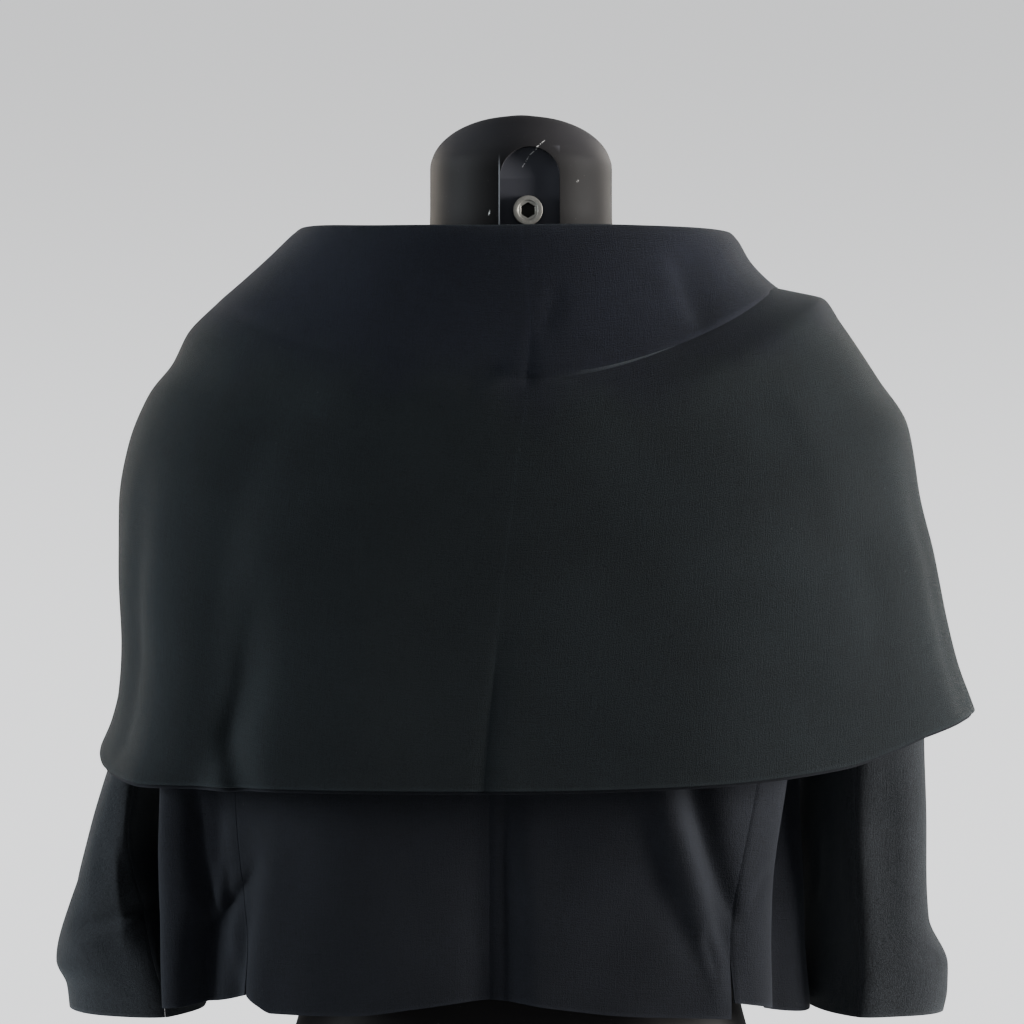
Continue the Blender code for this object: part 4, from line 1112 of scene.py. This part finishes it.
# %% The torso and neck of the form
FORM = (
    # z, wide, back, front
    (0, 152, 104, 106),
    (7, 158, 110, 112),
    (45, 162, 113, 115),
    (110, 152, 104, 106),
    (180, 134, 91, 96),
    (235, 122, 84, 91),
    (300, 129, 88, 99),
    (370, 142, 94, 113),
    (430, 151, 97, 120),
    (480, 156, 96, 111),
    (520, 160, 92, 97),
    (548, 160, 84, 84),
    (569, 148, 76, 74),
    (586, 124, 67, 65),
    (600.8, 94, 61, 61),
    (608, 74, 58, 58.5),
    (621, 61.5, 56.6, 57),
    (640, 57.2, 56.2, 56.2),
    (665, 56.4, 56, 56),
    (688, 56.4, 56, 56),
    (696, 54.6, 54.2, 54.2),
    (702, 51.2, 50.8, 50.8),
    (708, 45.2, 44.9, 44.9),
    (713.5, 36.4, 36.1, 36.1),
    (718, 24.2, 24, 24),
    (721, 8, 8, 8),
)
FORM_CUTS = 99
NECK_STARTS = (585.0, 612.0)  # the squarer torso turns round between these heights

deselect()
bpy.ops.mesh.primitive_cylinder_add(vertices=160, radius=1.0, depth=1.0, end_fill_type="NGON")
form = bpy.context.object
form.name = form.data.name = "form_shell"
mode("EDIT")
bpy.ops.mesh.select_all(action="DESELECT")
mode("OBJECT")
for edge in form.data.edges:
    a, b = (form.data.vertices[i].co for i in edge.vertices)
    edge.select = abs(a.z - b.z) > 0.5
bpy.context.tool_settings.mesh_select_mode = (False, True, False)
mode("EDIT")
bpy.ops.mesh.subdivide(number_cuts=FORM_CUTS)
mode("OBJECT")

co = triples(form.data.vertices, "co")
high, wide, back, front = all_columns(FORM, (co[:, 2] + 0.5) * (len(FORM) - 1))
angle = np.arctan2(co[:, 0], co[:, 1])
square = 2.0 + 0.25 * (1 - smooth(high, *NECK_STARTS))
s, c = np.sin(angle), np.cos(angle)
x = wide * powered(s, 2 / square)
y = np.where(c > 0, back, front) * powered(c, 2 / square)
form.data.vertices.foreach_set("co", (np.stack([x, y, high], -1) * MM).ravel())
form.data.update()
print("form:", len(form.data.vertices), "points,", FORM[-1][0], "mm high")

# %% The recess in the neck
RECESS = {"x": -5.2, "wide": 36.0, "floor_y": 46.0, "bottom": 613.0, "arc_z": 678.0}
CUT_DEPTH = 30.0


def cylinder(vertices, radius, depth, place, way):
    """A cylinder in millimetres that lies level, from back to front."""
    deselect()
    bpy.ops.mesh.primitive_cylinder_add(
        vertices=vertices, radius=radius * MM, depth=depth * MM,
        location=[v * MM for v in place], rotation=(way * math.pi / 2, 0.0, 0.0),
    )
    return bpy.context.object


def cut_away(piece, tool, label):
    finish_with(piece, label, "BOOLEAN", operation="DIFFERENCE", solver="EXACT", object=tool)
    bpy.data.objects.remove(tool, do_unlink=True)


middle = (RECESS["bottom"] + RECESS["arc_z"]) / 2
cut_y = RECESS["floor_y"] + CUT_DEPTH / 2
deselect()
bpy.ops.mesh.primitive_cube_add(
    size=1.0,
    location=(RECESS["x"] * MM, cut_y * MM, middle * MM),
    scale=(RECESS["wide"] * MM, CUT_DEPTH * MM, (RECESS["arc_z"] - RECESS["bottom"]) * MM),
)
box_cutter = bpy.context.object
arc_cutter = cylinder(96, RECESS["wide"] / 2, CUT_DEPTH, (RECESS["x"], cut_y, RECESS["arc_z"]), 1)
cut_away(form, box_cutter, "recess")
cut_away(form, arc_cutter, "recess")
round_edges(form, "round", 1.9, 4, 42)
bpy.ops.object.shade_smooth_by_angle(angle=math.radians(38))
print("form with its recess:", len(form.data.polygons), "faces")

# %% The socket bolt in the recess
BOLT = {"x": -4.0, "z": 658.0, "radius": 8.9, "thick": 4.2, "hex": 4.8, "deep": 3.0}
bolt_y = RECESS["floor_y"] + SEAM
bolt_top = bolt_y + BOLT["thick"]
bolt = cylinder(96, BOLT["radius"], BOLT["thick"], (BOLT["x"], bolt_y + BOLT["thick"] / 2, BOLT["z"]), -1)
bolt.name = bolt.data.name = "bolt_head"
bpy.ops.object.transform_apply(location=True, rotation=True, scale=True)
mode("EDIT")
bpy.ops.mesh.select_all(action="DESELECT")
mode("OBJECT")
for face in bolt.data.polygons:
    face.select = face.normal.y > 0.9
bpy.context.tool_settings.mesh_select_mode = (False, False, True)
mode("EDIT")
bpy.ops.mesh.inset(thickness=2.9 * MM, depth=0.0)
bpy.ops.mesh.extrude_region_move(TRANSFORM_OT_translate={"value": (0.0, -0.5 * MM, 0.0)})
mode("OBJECT")
cut_away(bolt, cylinder(6, BOLT["hex"], BOLT["deep"] * 2, (BOLT["x"], bolt_top, BOLT["z"]), 1), "socket")
round_edges(bolt, "round", 0.35, 3, 40)
bpy.ops.object.shade_smooth_by_angle(angle=math.radians(35))
print("bolt:", len(bolt.data.polygons), "faces")

# %% [markdown]
# ## Plastic and steel
#
# The form's black plastic has a satin skin, a little dust and, near the top of the neck,
# a few pale scrapes from handling. The scrapes are drawn in the material from the
# distance to short lines on the neck, broken up by noise. The dome is painted lighter
# towards its top with painted light from above, the plate in the recess is painted
# paler with painted light, and the recess's left edge carries a painted highlight. The
# bolt is dull plated steel with painted shade in its socket.

# %% The form's plastic
SCRAPES = (
    # x and z of one end, x and z of the other, width, in metres on the back of the neck
    (-0.0008, 0.6846, -0.0045, 0.6908, 0.00042),
    (-0.0052, 0.6918, -0.0140, 0.6998, 0.00040),
    (0.0194, 0.6550, 0.0192, 0.6574, 0.00060),
    (-0.0340, 0.6758, -0.0344, 0.6764, 0.00060),
)


def scraped(x, z):
    """1 on the scrapes and 0 beside them."""
    marks = None
    for x0, z0, x1, z1, wide in SCRAPES:
        size = math.hypot(x1 - x0, z1 - z0)
        right, up = (x1 - x0) / size, (z1 - z0) / size
        from_x, from_z = maths("SUBTRACT", x, x0), maths("SUBTRACT", z, z0)
        along = maths("MULTIPLY_ADD", from_z, up, times(from_x, right))
        beside = maths("MULTIPLY_ADD", from_z, right, times(from_x, -up))
        inside = spread_map(apart(along, size / 2), size / 2, size / 2 + 0.0006, 1.0, 0.0)
        mark = times(inside, spread_map(maths("ABSOLUTE", beside), wide * 0.3, wide, 1.0, 0.0))
        marks = maths("MAXIMUM", marks, mark) if marks else mark
    return marks


def worn_plastic():
    made, shader = new_material("black_form_plastic")
    place = add("ShaderNodeTexCoord").outputs["Object"]
    grain = noise(place, 2600.0, 2.0, 0.5)
    skin = noise(place, 42.0, 4.0, 0.55)
    dust = spread_map(noise(place, 620.0, 2.0, 0.5), 0.70, 0.78)
    x, y, z = (axis_of(place, i) for i in range(3))

    tone = maths("MULTIPLY_ADD", grain, 0.6, times(skin, 0.4))
    colour = blend_colours(tone, (0.0018, 0.0017, 0.0020), (0.0066, 0.0061, 0.0062))
    # the plate at the bottom of the recess is painted paler than the plastic round it: painted light in the
    # deep recess
    half, floor_y = RECESS["wide"] / 2 * MM, RECESS["floor_y"] * MM
    painted_light_in_recess = times(
        spread_map(apart(x, RECESS["x"] * MM), half - 0.0003, half + 0.0003, 1.0, 0.0),
        spread_map(y, floor_y + 0.001, floor_y + 0.005, 1.0, 0.0),
        spread_map(y, 0.040, 0.044),
        spread_map(z, 0.600, 0.606),
        spread_map(z, 0.6965, 0.6975, 1.0, 0.0),
    )
    colour = blend_colours(painted_light_in_recess, colour, (0.062, 0.063, 0.074))
    # the dome is painted lighter towards its top: painted light from above, and a little dust
    colour = blend_colours(spread_map(z, 0.680, 0.712, 0.0, 0.62), colour, (0.034, 0.033, 0.036))
    # a painted highlight runs along the left edge of the recess
    painted_edge_highlight = times(
        spread_map(apart(x, RECESS["x"] * MM + half + 0.0005), 0.0001, 0.0006, 0.65, 0.0),
        spread_map(z, 0.680, 0.692, 1.0, 0.0),
        spread_map(z, 0.620, 0.630),
        spread_map(y, 0.050, 0.053),
    )
    colour = blend_colours(painted_edge_highlight, colour, (0.26, 0.27, 0.29))
    colour = blend_colours(times(dust, 0.35), colour, (0.07, 0.066, 0.062))
    broken = spread_map(noise(place, 900.0, 2.0, 0.5), 0.42, 0.56)
    scrapes = times(scraped(x, z), spread_map(y, 0.02, 0.03), broken)
    colour = blend_colours(scrapes, colour, (0.50, 0.50, 0.49))
    rough = maths("MULTIPLY_ADD", dust, 0.2, maths("MULTIPLY_ADD", skin, 0.10, 0.56), clamp=True)
    normal = bumped(skin, 0.25, 0.00060, bumped(grain, 0.25, 0.00010))
    settle(shader, Base_Color=colour, Roughness=rough, Normal=normal, Specular_IOR_Level=0.055)
    return made


form.data.materials.append(worn_plastic())
print("plastic on", form.name)


# %% The bolt's steel
def plated_steel():
    made, shader = new_material("bolt_steel")
    place = add("ShaderNodeTexCoord").outputs["Object"]
    x, y, z = (axis_of(place, i) for i in range(3))
    x, z = maths("SUBTRACT", x, BOLT["x"] * MM), maths("SUBTRACT", z, BOLT["z"] * MM)
    reach = maths("SQRT", maths("ADD", times(x, x), times(z, z)))
    # painted shade: the socket is painted darker deeper into the hole
    painted_shade_depth = spread_map(y, (bolt_y + 1.0) * MM, (bolt_y + 3.6) * MM, 1.0, 0.0)
    socket = times(spread_map(reach, 0.0046, 0.0051, 1.0, 0.0), painted_shade_depth)
    stains = noise(place, 700.0, 4.0, 0.6)
    colour = blend_colours(stains, (0.20, 0.19, 0.168), (0.37, 0.36, 0.33))
    colour = blend_colours(socket, colour, (0.012, 0.011, 0.010))
    normal = bumped(noise(place, 1.0, 2.0, 0.5, stretch=(3500.0, 400.0, 3500.0)), 0.3, 0.00008)
    rough = maths("MULTIPLY_ADD", stains, 0.22, 0.34)
    settle(shader, Base_Color=colour, Roughness=rough, Normal=normal, Metallic=0.85)
    return made


bolt.data.materials.append(plated_steel())
print("steel on", bolt.name)

# %% [markdown]
# ## What each piece is
#
# Each piece of cloth takes the place of the solid of its name, which is hidden, and
# the size of its flat cut is printed. The cuts come from the sheets themselves: how wide
# and how long the flat grid has to be, and the area that is left of that rectangle once
# it is cut to shape.

# %% Pieces, solids and flat cuts
for name, piece in pieces.items():
    grid = panels[name]
    wide = float(lengths(grid, 1)[:, -1].max()) * MM
    long = float(lengths(grid, 0)[-1].max()) * MM
    cut = area_of(grid)
    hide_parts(name)
    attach(piece, "root")
    print(name, "flat", round(wide, 3), "x", round(long, 3), "m, area", round(cut, 4), "m2")
for piece, name, finish in ((form, "form_torso", "form_plastic"), (bolt, "form_bolt", "bolt_steel")):
    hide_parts(name)
    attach(piece, "root")
print("pieces:", len(pieces) + 2)

# %% [markdown]
# ## Floor, sky and light
#
# The garment was photographed against pale grey, in soft light from both sides, the
# stronger from the right. A plain pale floor carries the form. The backdrop gets a
# little lighter towards the ground, as in the photograph, and the room that lights the
# cloth is dimmer than the backdrop, as in a studio. A large lamp at each side rakes
# over the nap, and two warm ones from the far side draw the rims of cloth and form.

# %% Floor and sky
deselect()
bpy.ops.mesh.primitive_circle_add(vertices=128, radius=0.86, fill_type="NGON", location=(0.0, 0.0, -0.0004))
floor = bpy.context.object
floor.name = floor.data.name = "studio_floor"
bpy.ops.object.transform_apply(location=True, rotation=True, scale=True)
made, shader = new_material("pale_floor")
tone = noise(add("ShaderNodeTexCoord").outputs["Object"], 6.0, 3.0, 0.5)
settle(shader, Base_Color=blend_colours(tone, (0.60, 0.60, 0.61), (0.66, 0.66, 0.67)), Roughness=0.75)
floor.data.materials.append(made)

world = bpy.data.worlds.new("pale_grey_studio")
bpy.context.scene.world = world
world.use_nodes = True
tree = world.node_tree
sky = next(n for n in tree.nodes if n.type == "BACKGROUND")
sky.name = "backdrop"
height = axis_of(add("ShaderNodeTexCoord").outputs["Generated"], 2)
share = maths("POWER", spread_map(height, -0.18, 0.18), 1.7)
settle(sky, Color=blend_colours(share, (1.085, 1.095, 1.115), (0.625, 0.63, 0.64)), Strength=1.55)
room = add("ShaderNodeBackground", name="dim_room")
ceiling = spread_map(height, 0.0, 0.8)
settle(room, Color=blend_colours(ceiling, (0.90, 0.95, 1.0), (0.30, 0.31, 0.34)), Strength=0.46)
seen = add("ShaderNodeMixShader")
sources = (add("ShaderNodeLightPath").outputs["Is Camera Ray"], room.outputs[0], sky.outputs[0])
for source, socket in zip(sources, seen.inputs):
    put(source, socket)
settle(next(n for n in tree.nodes if n.type == "OUTPUT_WORLD"), Surface=seen.outputs[0])
print("floor radius 0.86 m, backdrop from light grey to grey")

# %% Lamps
for name, power, colour, place, aim in (
    ("key_right", 275.0, (1.0, 0.975, 0.94), (-2.30, 0.36, 0.72), (-0.05, 0.05, 0.42)),
    ("fill_left", 135.0, (0.90, 0.96, 1.0), (2.30, 0.34, 0.74), (0.05, 0.05, 0.40)),
    ("warm_front_left", 34.0, (1.0, 0.90, 0.78), (1.50, -1.60, 1.00), (0.0, 0.0, 0.45)),
    ("warm_front_right", 42.0, (1.0, 0.94, 0.86), (-1.40, -1.70, 1.25), (0.0, 0.0, 0.45)),
):
    lamp = bpy.data.lights.new(name, "AREA")
    lamp.shape, lamp.size, lamp.energy, lamp.color = "DISK", 1.0, power, colour
    stand = bpy.data.objects.new(name, lamp)
    bpy.context.scene.collection.objects.link(stand)
    stand.location = place
    towards = mathutils.Vector(aim) - mathutils.Vector(place)
    stand.rotation_euler = towards.to_track_quat("-Z", "Y").to_euler()

# %% [markdown]
# ## The end

# Cloth may stand a few millimetres proud of its solid, and no more.

# %% Last cell
import json
